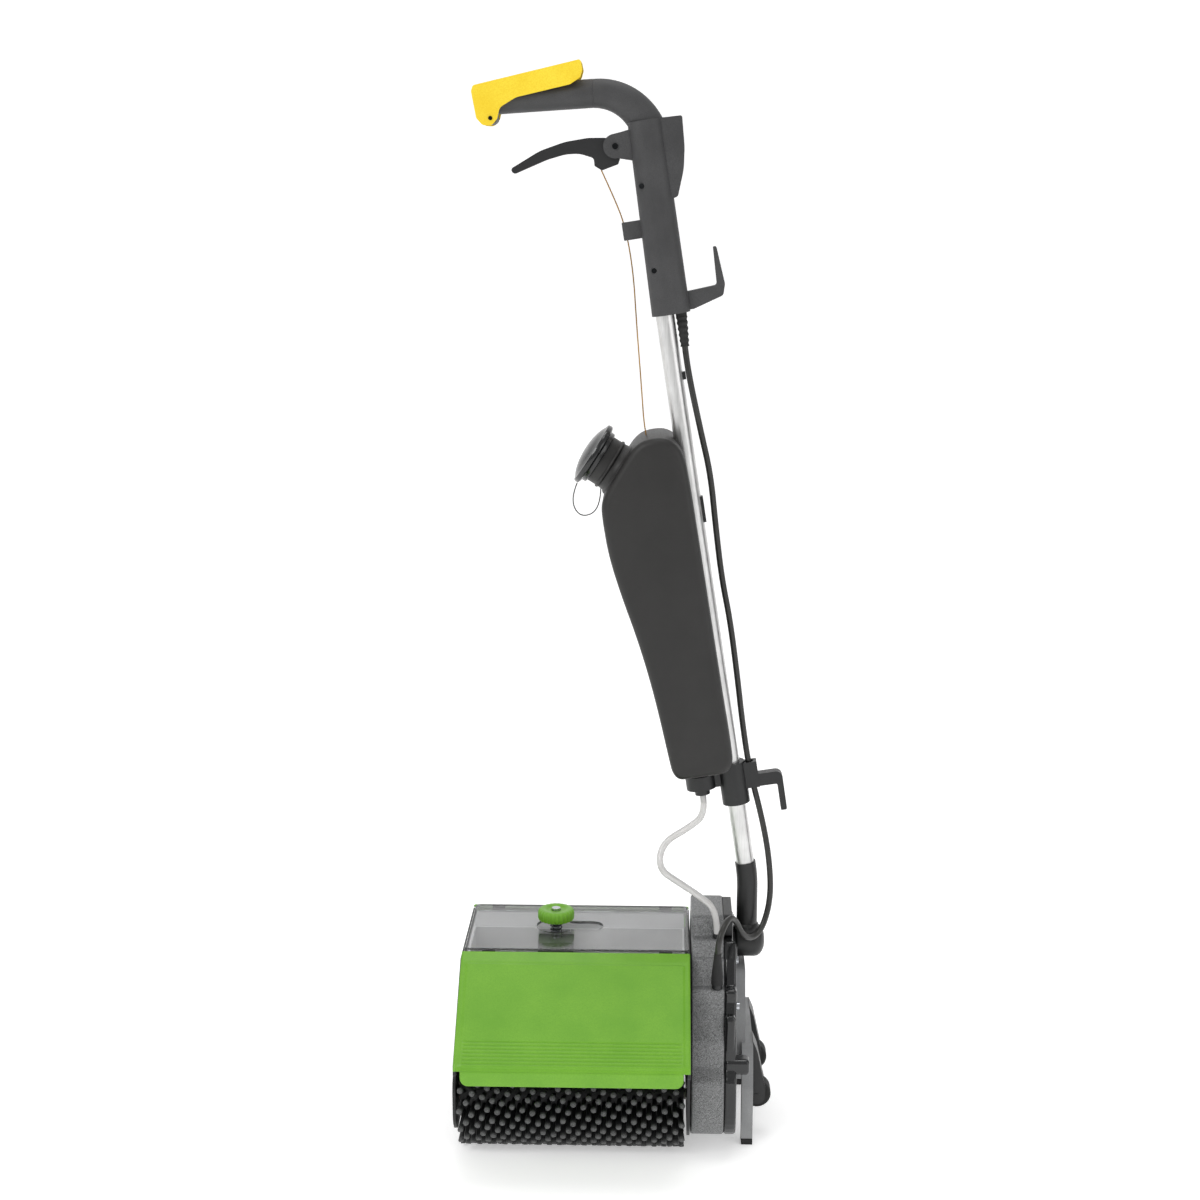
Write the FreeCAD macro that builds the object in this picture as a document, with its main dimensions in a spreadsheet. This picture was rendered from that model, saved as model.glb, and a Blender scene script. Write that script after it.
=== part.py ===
"""Upright wet and dry floor scrubber with two cylindrical brushes and a side-mounted swinging handle.

The head stands on its brushes and on a side stand. Millimetres; +X runs along the brushes towards the
gearbox, +Y to the rear, +Z up. Everything is drawn from the middle of the brushes at floor level, and at
the end the whole machine is slid along X so that the origin is the middle of its footprint.
"""
import FreeCAD, Part
import Sketcher
import math
import os
import re

doc = FreeCAD.newDocument("FloorScrubber")
Vec = FreeCAD.Vector
UP = Vec(0, 0, 1)

# ---------------------------------------------------------------- driving dimensions (mm, degrees)
SIZES = {
    # brushes, drum and the plates that carry them
    "brush_radius": 55, "brush_length": 234, "brush_pitch": 75, "core_radius": 27, "core_wall": 3,
    "spindle_radius": 6, "drum_radius": 28.8, "drum_wall": 2.5, "plate_thick": 3, "side_gap": 3,
    "frame_left": 114, "run_gap": 0.05, "part_gap": 0.3, "slot_gap": 1,
    # head body
    "head_top": 211, "lid_half": 65.5, "cover_bottom": 124, "head_half_depth": 176, "cover_wall": 2.5,
    "lip_drop": 16, "rail_radius": 4, "rail_y": 70, "rail_z": 199, "plate_top": 203,
    # gearbox
    "casing_width": 34.5, "casing_wall": 3.5, "cover_width": 11, "casing_top": 237, "gear_cover_top": 214, "lobe_radius": 41,
    "ledge_height": 176, "step_height": 216, "block_half": 36, "gear_module": 1.5, "gear_width": 10,
    "brush_teeth": 44, "idler_teeth": 28, "wheel_teeth": 44, "motor_teeth": 12, "idler_pinion_teeth": 15,
    "drum_teeth": 43, "motor_y": 52, "motor_z": 160, "motor_radius": 28, "motor_length": 120,
    "motor_shaft_radius": 5,
    # side stand and transport wheels
    "stand_thick": 10, "stand_half_top": 32, "stand_half_foot": 80, "stand_top": 177, "foot_height": 6,
    "wheel_radius": 15, "wheel_width": 20, "wheel_y": 46, "wheel_z": 46, "wheel_x": 195,
    # recovery tray, clear cover and knob
    "tray_floor": 129, "tray_wall": 2, "tray_front": 60, "tray_rear": 17, "tray_top": 202,
    "lid_thick": 3, "keyhole_x": -21, "keyhole_y": 3.5, "keyhole_radius": 21,
    "key_slot_radius": 12.5, "key_slot_end": 17.5, "knob_radius": 19.5, "knob_height": 12, "knob_base": 218,
    "stud_radius": 4, "spring_radius": 6.7, "spring_wire": 1.6, "spring_coils": 5, "bracket_top": 195,
    # handle
    "pivot_height": 199, "pivot_radius": 8, "yoke_radius": 18, "yoke_width": 23.5, "yoke_x": 171.5,
    "handle_x": 184, "handle_bend_z": 270, "handle_lean": 8.8, "tube_radius": 9.5, "tube_wall": 1.5,
    "sleeve_wall": 1.5, "tube_top": 640, "clamp_low": 84, "clamp_high": 128.7, "clamp_radius": 14.5,
    "tank_half_depth": 48, "tank_wall": 2.5, "tank_low": 129, "outlet_x": -34, "outlet_radius": 14,
    "neck_radius": 26, "neck_bore": 21, "cap_radius": 33.5,
    "housing_half": 20, "housing_wall": 3, "grip_radius": 14, "trigger_half": 18.5, "trigger_wall": 2.5,
    "lever_half": 5, "lead_radius": 3.25, "hose_radius": 3.5, "hose_bore": 2.2, "wire_radius": 0.7,
    "inlet_radius": 4.2, "nipple_x": 151, "nipple_y": -41, "nipple_stub": 3, "gland_x": 150.5, "gland_y": -82,
    "gland_stub": 4, "grip_bore": 9, "pin_radius": 3, "trigger_pin": 2,
}
sheet = doc.addObject("Spreadsheet::Sheet", "Sizes")
for row, (alias, value) in enumerate(SIZES.items(), start=1):
    sheet.set("A%d" % row, alias)
    sheet.set("B%d" % row, str(value))
    sheet.setAlias("B%d" % row, alias)
doc.recompute()


class Sizes:
    """The sheet's cells as plain numbers."""


S = Sizes()
for alias in SIZES:
    setattr(S, alias, float(sheet.get(alias)))

pieces = []
SHEET_WORD = re.compile(r"\b(" + "|".join(SIZES) + r")\b")


# ---------------------------------------------------------------- ways of building
def bound(text):
    """An expression in the sheet's own names."""
    return SHEET_WORD.sub(r"Sizes.\1", str(text))


def bind(item, **sizes):
    """Tie properties of a document object to expressions of the sheet."""
    for name, text in sizes.items():
        item.setExpression(name, bound(text))
    return item


def place(item, x=0, y=0, z=0, turn=None):
    """Tie an object's position to the sheet and turn it."""
    if turn is not None:
        item.Placement.Rotation = turn
    for axis, text in zip("xyz", (x, y, z)):
        item.setExpression("Placement.Base." + axis, bound(text))
    return item


ALONG_X = FreeCAD.Rotation(Vec(0, 1, 0), 90)
ALONG_Y = FreeCAD.Rotation(Vec(1, 0, 0), -90)
SIDE_VIEW = FreeCAD.Rotation(Vec(1, 1, 1), 120)
FRONT_VIEW = FreeCAD.Rotation(Vec(1, 0, 0), 90)


def rod(radius, length, x=0, y=0, z=0, turn=None):
    item = doc.addObject("Part::Cylinder", "Rod")
    bind(item, Radius=radius, Height=length)
    return place(item, x, y, z, turn)


def block(length, width, height, x=0, y=0, z=0):
    item = doc.addObject("Part::Box", "Block")
    bind(item, Length=length, Width=width, Height=height)
    return place(item, x, y, z)


def cut(base, *tools):
    for tool in tools:
        result = doc.addObject("Part::Cut", "Cut")
        result.Base, result.Tool = base, tool
        base = result
    return base


def fuse(*items):
    if len(items) == 1:
        return items[0]
    result = doc.addObject("Part::MultiFuse", "Fused")
    result.Shapes = list(items)
    return result


def group(*items):
    """Like pieces kept as separate solids under one name."""
    result = doc.addObject("Part::Compound", "Group")
    result.Links = list(items)
    return result


def fillet(item, radius, chosen):
    """Round the edges of an object that the test picks."""
    doc.recompute()
    result = doc.addObject("Part::Fillet", "Rounded")
    result.Base = item
    edges = [n for n, edge in enumerate(item.Shape.Edges, start=1) if chosen(edge)]
    result.Edges = [(n, radius, radius) for n in edges]
    return result


def solid(label, shape):
    item = doc.addObject("Part::Feature", "Solid")
    item.Shape = shape
    item.Label = label
    return item


def keep(label, item, cord=False):
    """Name a finished sub-part, which becomes a file of its own."""
    item.Label = label
    pieces.append((label, item, cord))
    return item


def corners(points):
    """Lines and tangent arcs of a closed outline given as (u, v, corner radius)."""
    count = len(points)
    ends = []
    for n, (u, v, radius) in enumerate(points):
        here = Vec(u, v, 0)
        before = Vec(points[n - 1][0], points[n - 1][1], 0)
        after = Vec(points[(n + 1) % count][0], points[(n + 1) % count][1], 0)
        way_in, way_out = (before - here).normalize(), (after - here).normalize()
        if radius <= 0:
            ends.append((here, None, here))
            continue
        half = way_in.getAngle(way_out) / 2
        reach = radius / math.tan(half)
        middle = (way_in + way_out).normalize() * (radius / math.sin(half) - radius)
        ends.append((here + way_in * reach, here + middle, here + way_out * reach))
    edges = []
    for n, (start, middle, finish) in enumerate(ends):
        if middle is not None:
            edges.append(Part.Arc(start, middle, finish))
        following = ends[(n + 1) % count][0]
        if (following - finish).Length > 1e-6:
            edges.append(Part.LineSegment(finish, following))
    return edges


def inset(points, depth):
    """The same outline moved inwards by a wall; the points run anticlockwise."""
    count = len(points)
    lines = []
    for n in range(count):
        start = Vec(points[n][0], points[n][1], 0)
        along = (Vec(points[(n + 1) % count][0], points[(n + 1) % count][1], 0) - start).normalize()
        lines.append((start + Vec(-along.y, along.x, 0) * depth, along))
    moved = []
    for n in range(count):
        (p, a), (q, b) = lines[n - 1], lines[n]
        cross = a.x * b.y - a.y * b.x
        gap = q - p
        share = (gap.x * b.y - gap.y * b.x) / cross
        corner = p + a * share
        radius = points[n][2] - depth if cross > 0 else points[n][2] + depth
        moved.append((corner.x, corner.y, max(radius, 0)))
    return moved


def extruded(name, plane, points, length, offset=0, holes=()):
    """A body padded from one sketch: plane YZ pads along +X, plane XZ pads along -Y, plane XY along +Z."""
    body = doc.addObject("PartDesign::Body", name)
    sketch = body.newObject("Sketcher::SketchObject", name + "Sketch")
    role = {"YZ": "YZ_Plane", "XZ": "XZ_Plane", "XY": "XY_Plane"}[plane]
    origin = [face for face in body.Origin.OriginFeatures if face.Role == role][0]
    sketch.AttachmentSupport = (origin, "")
    sketch.MapMode = "FlatFace"
    sketch.addGeometry(corners(points), False)
    for u, v, radius in holes:
        sketch.addGeometry(Part.Circle(Vec(u, v, 0), UP, radius), False)
    sketch.setExpression("AttachmentOffset.Base.z", bound(offset))
    pad = body.newObject("PartDesign::Pad", name + "Pad")
    pad.Profile = sketch
    pad.setExpression("Length", bound(length))
    sketch.Visibility = False
    return body


def mirrored(points):
    """A closed outline from its half on the left of u = 0, listed from the top down, both halves."""
    right = [(-u, v, radius) for u, v, radius in reversed(points)]
    return points + right


def route(points, radius, label_for_print):
    """A round bar along straight runs joined by tangent arcs as large as the runs allow."""
    stops = [Vec(*p) for p in points]
    edges, start, radii = [], stops[0], []
    for n in range(1, len(stops) - 1):
        run_in, run_out = stops[n] - stops[n - 1], stops[n + 1] - stops[n]
        turn = run_in.getAngle(run_out)
        bend = 0.45 * min(run_in.Length, run_out.Length) / math.tan(turn / 2)
        reach = bend * math.tan(turn / 2)
        radii.append(round(bend, 1))
        enter = stops[n] - Vec(run_in).normalize() * reach
        leave = stops[n] + Vec(run_out).normalize() * reach
        inward = (Vec(run_out).normalize() - Vec(run_in).normalize()).normalize()
        top = stops[n] + inward * (bend / math.cos(turn / 2) - bend)
        edges.append(Part.LineSegment(start, enter).toShape())
        edges.append(Part.Arc(enter, top, leave).toShape())
        start = leave
    edges.append(Part.LineSegment(start, stops[-1]).toShape())
    wire = Part.Wire(edges)
    circle = Part.Wire(Part.Circle(stops[0], stops[1] - stops[0], radius).toShape())
    tube = wire.makePipeShell([circle], True, False)
    drift = tube.Volume / (math.pi * radius ** 2 * wire.Length) - 1
    print("%s: length %.1f, radii %s, volume off by %.2f %%" % (label_for_print, wire.Length, radii, 100 * drift))
    return tube



# ---------------------------------------------------------------- stations along the machine
RIGHT_PLATE = "(brush_length / 2 + side_gap)"
CASING = "(brush_length / 2 + side_gap + plate_thick + slot_gap)"
CAVITY = "(" + CASING + " + casing_wall)"
COVER = "(" + CASING + " + casing_width)"
COVER_FACE = "(" + COVER + " + cover_width)"
LEFT_PLATE = "(-frame_left - plate_thick)"
BEARING_PLATE = "(-brush_length / 2 - side_gap - plate_thick)"
right_plate_x = S.brush_length / 2 + S.side_gap
casing_x = right_plate_x + S.plate_thick + S.slot_gap
cover_x = casing_x + S.casing_width
idler_y = (S.brush_pitch - (S.brush_teeth + S.idler_teeth) * S.gear_module / 2)
drum_reach = (S.idler_pinion_teeth + S.drum_teeth) * S.gear_module / 2
drum_z = S.brush_radius + math.sqrt(drum_reach ** 2 - idler_y ** 2)


# ---------------------------------------------------------------- gears
def gear_shape(teeth, width, bore, phase=0.0):
    """Spur gear about +X with involute flanks and a little backlash; phase is one tooth's angle from +Y."""
    teeth = int(teeth)
    pitch = teeth * S.gear_module / 2
    tip, root = pitch + 0.85 * S.gear_module, pitch - 1.15 * S.gear_module
    base = pitch * math.cos(math.radians(20))
    backlash = 0.07

    def involute(radius):
        angle = math.acos(min(1, base / radius))
        return math.tan(angle) - angle

    half_pitch = math.pi / teeth / 2 - backlash / pitch
    flank = [max(base, root) + (tip - max(base, root)) * share for share in (0, 0.3, 0.6, 0.8, 1)]
    outline = []
    for n in range(teeth):
        middle = phase + 2 * math.pi * n / teeth
        side = [(radius, half_pitch + involute(pitch) - involute(radius)) for radius in flank]
        side.insert(0, (root, side[0][1]))
        for radius, half in side:
            outline.append((middle - half, radius))
        for radius, half in reversed(side):
            outline.append((middle + half, radius))
    points = [Vec(0, radius * math.cos(angle), radius * math.sin(angle)) for angle, radius in outline]
    face = Part.Face(Part.makePolygon(points + [points[0]]))
    wheel = face.extrude(Vec(width, 0, 0))
    return wheel.cut(Part.makeCylinder(bore, width + 2, Vec(-1, 0, 0), Vec(1, 0, 0)))


def meshed(phase, teeth, direction, other_teeth):
    """Phase of the next gear, so that its gap meets this gear's tooth on the line of centres."""
    return direction + math.pi - (phase - direction) * teeth / other_teeth - math.pi / other_teeth


def where_circles_cross(y1, z1, r1, y2, z2, r2):
    """The crossing of two circles that lies on the left when looking from the first to the second."""
    across = math.hypot(y2 - y1, z2 - z1)
    along = (r1 ** 2 - r2 ** 2 + across ** 2) / (2 * across)
    aside = math.sqrt(r1 ** 2 - along ** 2)
    ey, ez = (y2 - y1) / across, (z2 - z1) / across
    return y1 + ey * along - ez * aside, z1 + ez * along + ey * aside


low = S.brush_radius
gear_x = casing_x + S.casing_wall + 3.5
second_x = gear_x + S.gear_width + 2
reach_rear = (S.wheel_teeth + S.brush_teeth) * S.gear_module / 2
reach_motor = (S.wheel_teeth + S.motor_teeth) * S.gear_module / 2
wheel_y, wheel_z = where_circles_cross(
    S.brush_pitch, low, reach_rear, S.motor_y, S.motor_z, reach_motor)
front_phase = 0.0
idler_a_phase = meshed(front_phase, S.brush_teeth, 0, S.idler_teeth)
idler_b_phase = meshed(idler_a_phase, S.idler_teeth, 0, S.idler_teeth)
rear_phase = meshed(idler_b_phase, S.idler_teeth, 0, S.brush_teeth)
to_wheel = math.atan2(wheel_z - low, wheel_y - S.brush_pitch)
wheel_phase = meshed(rear_phase, S.brush_teeth, to_wheel, S.wheel_teeth)
to_motor = math.atan2(S.motor_z - wheel_z, S.motor_y - wheel_y)
motor_phase = meshed(wheel_phase, S.wheel_teeth, to_motor, S.motor_teeth)
to_drum = math.atan2(drum_z - low, idler_y)
drum_phase = meshed(idler_a_phase, S.idler_pinion_teeth, to_drum, S.drum_teeth)
pin_radius = 4.0
hub_radius = 8.0


def spin_axis(radius, start, finish):
    """A shaft's solid along +X about the origin between two stations."""
    return Part.makeCylinder(radius, finish - start, Vec(start, 0, 0), Vec(1, 0, 0))


def geared(label, teeth, y, z, phase, x, extra=None, bore=pin_radius + S.run_gap):
    wheel = gear_shape(teeth, S.gear_width, bore, phase)
    wheel.translate(Vec(x, 0, 0))
    if extra is not None:
        wheel = wheel.fuse(extra).removeSplitter()
    wheel.translate(Vec(0, y, z))
    return keep(label, solid(label, wheel))


core_end = S.brush_length / 2
for side, name, phase in ((-1, "front", front_phase), (1, "rear", rear_phase)):
    spindle = spin_axis(S.spindle_radius, core_end - 20, gear_x + S.gear_width + 6)
    geared(name + "_brush_gear", S.brush_teeth, side * S.brush_pitch, low, phase, gear_x, spindle,
           S.spindle_radius - 1)
second_gear = gear_shape(S.idler_pinion_teeth, S.gear_width, pin_radius + S.run_gap, idler_a_phase)
second_gear.translate(Vec(second_x, 0, 0))
sleeve = spin_axis(hub_radius, gear_x + S.gear_width - 0.5, second_x + 0.5)
sleeve = sleeve.cut(spin_axis(pin_radius + S.run_gap, gear_x, second_x + 1))
geared("compound_idler_gear", S.idler_teeth, -idler_y, low, idler_a_phase, gear_x, second_gear.fuse(sleeve))
geared("rear_idler_gear", S.idler_teeth, idler_y, low, idler_b_phase, gear_x)
geared("reduction_gear", S.wheel_teeth, wheel_y, wheel_z, wheel_phase, gear_x)
rotor_start = right_plate_x - S.motor_length
rotor = spin_axis(S.motor_shaft_radius, rotor_start, gear_x + S.gear_width)
rotor = rotor.fuse(spin_axis(S.motor_radius - 11.6, rotor_start + 30, rotor_start + 90))
geared("motor_rotor", S.motor_teeth, S.motor_y, S.motor_z, motor_phase, gear_x, rotor, S.motor_shaft_radius - 1)
drum_spindle = spin_axis(S.spindle_radius, core_end - 20, second_x + S.gear_width + 4)
geared("drum_gear", S.drum_teeth, 0, drum_z, drum_phase, second_x, drum_spindle, S.spindle_radius - 1)

gear_pins = [
    rod(pin_radius, COVER + " + 6 - " + CAVITY, CAVITY, y, z, ALONG_X)
    for y, z in ((-idler_y, low), (idler_y, low), (wheel_y, wheel_z))
]
keep("gear_pins", group(*gear_pins))

# ---------------------------------------------------------------- gearbox housing
casing_half = [
    (-S.block_half, S.casing_top, 6), (-S.block_half, S.step_height + 1, 1), (-46, S.step_height - 1, 4),
    (-57, 201, 1), (-62, 200, 1), (-76, S.ledge_height + 1, 1), (-88, S.ledge_height, 4), (-88, 163, 1),
    (-94, 149, 1), (-104, 126, 16), (-106, 98, 8), (-S.brush_pitch - S.lobe_radius, 88, 10),
    (-S.brush_pitch - S.lobe_radius, S.brush_radius - S.lobe_radius, S.lobe_radius - 0.1),
]
casing_outline = mirrored(casing_half)
cover_outline = mirrored([(-46, S.gear_cover_top, 3)] + casing_half[3:])
screw_places = [(side * y, z) for side in (-1, 1) for y, z in ((42, 192), (82, 157), (28, 24))]

shell = extruded("CasingShell", "YZ", casing_outline, "casing_width", CASING)
hollow = extruded("CasingHollow", "YZ", inset(casing_outline, S.casing_wall), "casing_width", CAVITY)
bosses = [rod(5, COVER + " - " + CAVITY + " + 1", CAVITY + " - 1", y, z, ALONG_X) for y, z in screw_places]
pivot_boss = rod("pivot_radius + 5", COVER + " - " + CAVITY + " + 1", CAVITY + " - 1", 0, "pivot_height", ALONG_X)
casing = fuse(cut(shell, hollow), pivot_boss, *bosses)
holes = [
    rod("spindle_radius + 3", "casing_wall + 2", CASING + " - 1", y, z, ALONG_X)
    for y, z in (("-brush_pitch", "brush_radius"), ("brush_pitch", "brush_radius"), (0, drum_z))
]
holes.append(rod("motor_shaft_radius + 1", "casing_wall + 2", CASING + " - 1", "motor_y", "motor_z", ALONG_X))
holes.append(rod("pivot_radius", "casing_width", CAVITY, 0, "pivot_height", ALONG_X))
holes += [rod(2.5, "casing_width", CAVITY + " + 10", y, z, ALONG_X) for y, z in screw_places]
holes.append(rod("nipple_stub + 0.05", 12, "nipple_x", "nipple_y", "step_height - 10"))
holes.append(rod("gland_stub + 0.05", 12, "gland_x", "gland_y", "ledge_height - 10"))
keep("gearbox_casing", cut(casing, *holes))
nipple = fuse(rod("nipple_stub", 6, "nipple_x", "nipple_y", "step_height - 4"),
              rod(4.4, 4, "nipple_x", "nipple_y", "step_height + 1"),
              rod("hose_bore - 0.05", 20, "nipple_x", "nipple_y", "step_height"))
gland = fuse(rod("gland_stub", 6, "gland_x", "gland_y", "ledge_height - 4"),
             rod(5.6, 6, "gland_x", "gland_y", "ledge_height + 1.1"),
             rod(4.6, 11, "gland_x", "gland_y", "ledge_height + 1.1"))
gland = cut(gland, rod("lead_radius + 0.1", 30, "gland_x", "gland_y", "ledge_height - 8"))
keep("head_inlets", group(cut(nipple, rod(1.2, 40, "nipple_x", "nipple_y", "step_height - 8")), gland))

cover = extruded("CoverShell", "YZ", cover_outline, "cover_width", COVER)
dish = extruded("CoverDish", "YZ", inset(cover_outline, 3), "cover_width - 3", COVER)
cover = fuse(cut(cover, dish), rod("pivot_radius + 5", "cover_width", COVER, 0, "pivot_height", ALONG_X),
             *[rod(5.5, "cover_width + 1.5", COVER, y, z, ALONG_X) for y, z in screw_places])
holes = [rod("pivot_radius + 0.2", "cover_width + 4", COVER + " - 1", 0, "pivot_height", ALONG_X)]
holes += [rod(2.7, "cover_width + 4", COVER + " - 1", y, z, ALONG_X) for y, z in screw_places]
keep("gear_cover", cut(cover, *holes))
screws = [
    fuse(rod(2.45, "cover_width + 12", COVER + " - 9", y, z, ALONG_X),
         rod(4.5, 3, COVER_FACE + " + 1.5", y, z, ALONG_X))
    for y, z in screw_places
]
keep("gear_cover_screws", group(*screws))
cap_outline = mirrored([(-34, S.casing_top - 0.5, 8), (-34, S.gear_cover_top + 0.5, 2)])
keep("casing_top_cap", extruded("TopCap", "YZ", cap_outline, "cover_width - 2", COVER))
keep("pivot_shaft", rod("pivot_radius - run_gap", COVER_FACE + " + 2 + yoke_width + 4 - " + CAVITY,
                        CAVITY, 0, "pivot_height", ALONG_X))


def bush(x, length, y, z, radius="spindle_radius", wall=3):
    return cut(rod("%s + %s - 0.01" % (radius, wall), length, x, y, z, ALONG_X),
               rod("%s + run_gap" % radius, length + " + 2", x + " - 1", y, z, ALONG_X))


bushes = [
    bush(CASING, "casing_wall", y, z)
    for y, z in (("-brush_pitch", "brush_radius"), ("brush_pitch", "brush_radius"), (0, drum_z))
]
bushes += [bush(BEARING_PLATE, "plate_thick", side + "brush_pitch", "brush_radius") for side in ("-", "")]
bushes.append(bush(LEFT_PLATE, "plate_thick", 0, drum_z))
keep("shaft_bushes", group(*bushes))

# ---------------------------------------------------------------- end plates and tie rods
plate_shoulder = [(-74, S.plate_top, 2), (-166, 124, 4)]
right_half = plate_shoulder + [(-166, 113, 4), (-134, 104, 10), (-130, 40, 20), (-105, 22, 10)]
left_half = plate_shoulder + [(-166, 113, 3), (-36, 113, 8), (-16, 92, 4), (-16, 46, 6)]
plate = extruded("RightPlate", "YZ", mirrored(right_half), "plate_thick", RIGHT_PLATE)
holes = [
    rod("spindle_radius + 2", "plate_thick + 2", RIGHT_PLATE + " - 1", y, z, ALONG_X)
    for y, z in (("-brush_pitch", "brush_radius"), ("brush_pitch", "brush_radius"), (0, drum_z))
]
holes.append(rod("motor_shaft_radius + 1", "plate_thick + 2", RIGHT_PLATE + " - 1",
                 "motor_y", "motor_z", ALONG_X))
keep("right_end_plate", cut(plate, *holes))
plate = extruded("LeftPlate", "YZ", mirrored(left_half), "plate_thick", LEFT_PLATE)
drum_hole = rod("spindle_radius + 3", "plate_thick + 2", LEFT_PLATE + " - 1", 0, drum_z, ALONG_X)
keep("left_end_plate", cut(plate, drum_hole))
carrier_half = [(-8, 96, 4), (-60, 100, 6), (-118, 98, 30), (-118, 22, 30), (-50, 22, 8), (-14, 36, 8)]
carrier = extruded("Carrier", "YZ", mirrored(carrier_half), "plate_thick", BEARING_PLATE)
spacers = [rod(5, "brush_length / 2 + side_gap - frame_left - plate_thick + 1", BEARING_PLATE + " + plate_thick - 1",
               y, 62, ALONG_X) for y in (-9, 9)]
holes = [rod("spindle_radius + 3", "plate_thick + 2", BEARING_PLATE + " - 1", side + "brush_pitch",
             "brush_radius", ALONG_X) for side in ("-", "")]
holes.append(rod(10, "plate_thick + 2", BEARING_PLATE + " - 1", 0, drum_z, ALONG_X))
keep("brush_bearing_plate", cut(fuse(carrier, *spacers), *holes))
tie_places = [(-S.rail_y, S.rail_z), (S.rail_y, S.rail_z), (-120, 121), (120, 121)]
keep("tie_rods", group(*[rod("rail_radius", "frame_left + " + RIGHT_PLATE, "-frame_left", y, z, ALONG_X)
                         for y, z in tie_places]))

# ---------------------------------------------------------------- brushes and transport drum
for side, name in (("-", "front"), ("", "rear")):
    y = side + "brush_pitch"
    tube = cut(rod("core_radius - part_gap / 10", "brush_length", "-brush_length / 2", y, "brush_radius", ALONG_X),
               rod("core_radius - core_wall", "brush_length - 16", "-brush_length / 2 + 8", y, "brush_radius", ALONG_X))
    tube = cut(tube, rod("spindle_radius + run_gap", 30, "brush_length / 2 - 20", y, "brush_radius", ALONG_X))
    stub = rod("spindle_radius", "side_gap + plate_thick + 1", BEARING_PLATE, y, "brush_radius", ALONG_X)
    keep(name + "_brush_core", fuse(tube, stub))
    ring = cut(rod("brush_radius", "brush_length", "-brush_length / 2", y, "brush_radius", ALONG_X),
               rod("core_radius", "brush_length + 2", "-brush_length / 2 - 1", y, "brush_radius", ALONG_X))
    keep(name + "_bristles", ring)
drum = cut(rod("drum_radius", "frame_left - 2 + brush_length / 2", "2 - frame_left", 0, drum_z, ALONG_X),
           rod("drum_radius - drum_wall", "frame_left + brush_length / 2 - 14", "8 - frame_left", 0, drum_z, ALONG_X))
drum = cut(drum, rod("spindle_radius + run_gap", 30, "brush_length / 2 - 20", 0, drum_z, ALONG_X))
drum_stub = rod("spindle_radius", "plate_thick + 3", LEFT_PLATE, 0, drum_z, ALONG_X)
keep("transport_drum", fuse(drum, drum_stub))

# ---------------------------------------------------------------- motor
can = cut(rod("motor_radius", "motor_length", RIGHT_PLATE + " - motor_length - 0.5", "motor_y", "motor_z", ALONG_X),
          rod("motor_radius - 2", "motor_length - 8", RIGHT_PLATE + " - motor_length + 3.5",
              "motor_y", "motor_z", ALONG_X),
          rod("motor_shaft_radius + run_gap", "motor_length + 2", RIGHT_PLATE + " - motor_length - 1.5",
              "motor_y", "motor_z", ALONG_X))
stator = cut(rod("motor_radius - 1", 60, RIGHT_PLATE + " - 90", "motor_y", "motor_z", ALONG_X),
             rod("motor_radius - 11", 62, RIGHT_PLATE + " - 91", "motor_y", "motor_z", ALONG_X))
keep("motor_housing", fuse(can, stator))

# ---------------------------------------------------------------- recovery tray and its motor cover
TRAY_LEFT = "(3 - frame_left)"
TRAY_LONG = "(frame_left + brush_length / 2 - 3)"
tray = cut(block(TRAY_LONG, "tray_front + tray_rear", "tray_top - tray_floor", TRAY_LEFT, "-tray_front", "tray_floor"),
           block(TRAY_LONG + " - 2 * tray_wall", "tray_front + tray_rear - 2 * tray_wall", "tray_top",
                 TRAY_LEFT + " + tray_wall", "tray_wall - tray_front", "tray_floor + tray_wall"))
inlet_lip = block(TRAY_LONG + " - 2 * tray_wall", "tray_wall", 14, TRAY_LEFT + " + tray_wall", -22, "tray_floor")
tray = cut(fuse(tray, inlet_lip), block(TRAY_LONG + " - 20", 8, 8, TRAY_LEFT + " + 10", -20, "tray_floor - 3"))
keep("recovery_tray", tray)
keep("scraper_blade", extruded("Scraper", "YZ", [
    (-12, drum_z + S.drum_radius + 1.2, 0), (-10, drum_z + S.drum_radius + 0.6, 0),
    (-2, S.tray_floor - 0.05, 0), (-12, S.tray_floor - 0.05, 0)], TRAY_LONG + " - 20", TRAY_LEFT + " + 10"))
motor_cover_outline = [(18, 128, 3), (86, 128, 3), (86, 184, 4), (63, 192, 3), (63, 202, 3), (18, 202, 3)]
lidded = cut(extruded("MotorCover", "YZ", motor_cover_outline, TRAY_LONG, TRAY_LEFT),
             extruded("MotorRoom", "YZ", inset(motor_cover_outline, 1.5), TRAY_LONG + " - 3", TRAY_LEFT + " + 1.5"),
             rod("motor_radius + 0.6", 10, "brush_length / 2 - 8", "motor_y", "motor_z", ALONG_X))
keep("motor_cover", lidded)

# ---------------------------------------------------------------- knob on its sprung stud
pillar = fuse(rod(9, "bracket_top - 6 - tray_floor - tray_wall", "keyhole_x", "keyhole_y", "tray_floor + tray_wall"),
              block(38, 26, 12, "keyhole_x - 19", "keyhole_y - 15", "bracket_top - 12"))
keep("knob_bracket", cut(pillar, rod("stud_radius + run_gap", 70, "keyhole_x", "keyhole_y", "tray_floor + 10")))
KNOB_SEAT = "knob_base + knob_height - 1.5"
keep("knob_stud", fuse(
    rod("stud_radius", "knob_base + knob_height - 3 - tray_floor - 21", "keyhole_x", "keyhole_y", "tray_floor + 21"),
    rod(2, 6, "keyhole_x", "keyhole_y", KNOB_SEAT + " - 5.5"),
    rod(4.5, 2.4, "keyhole_x", "keyhole_y", KNOB_SEAT + " + run_gap")))


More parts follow.
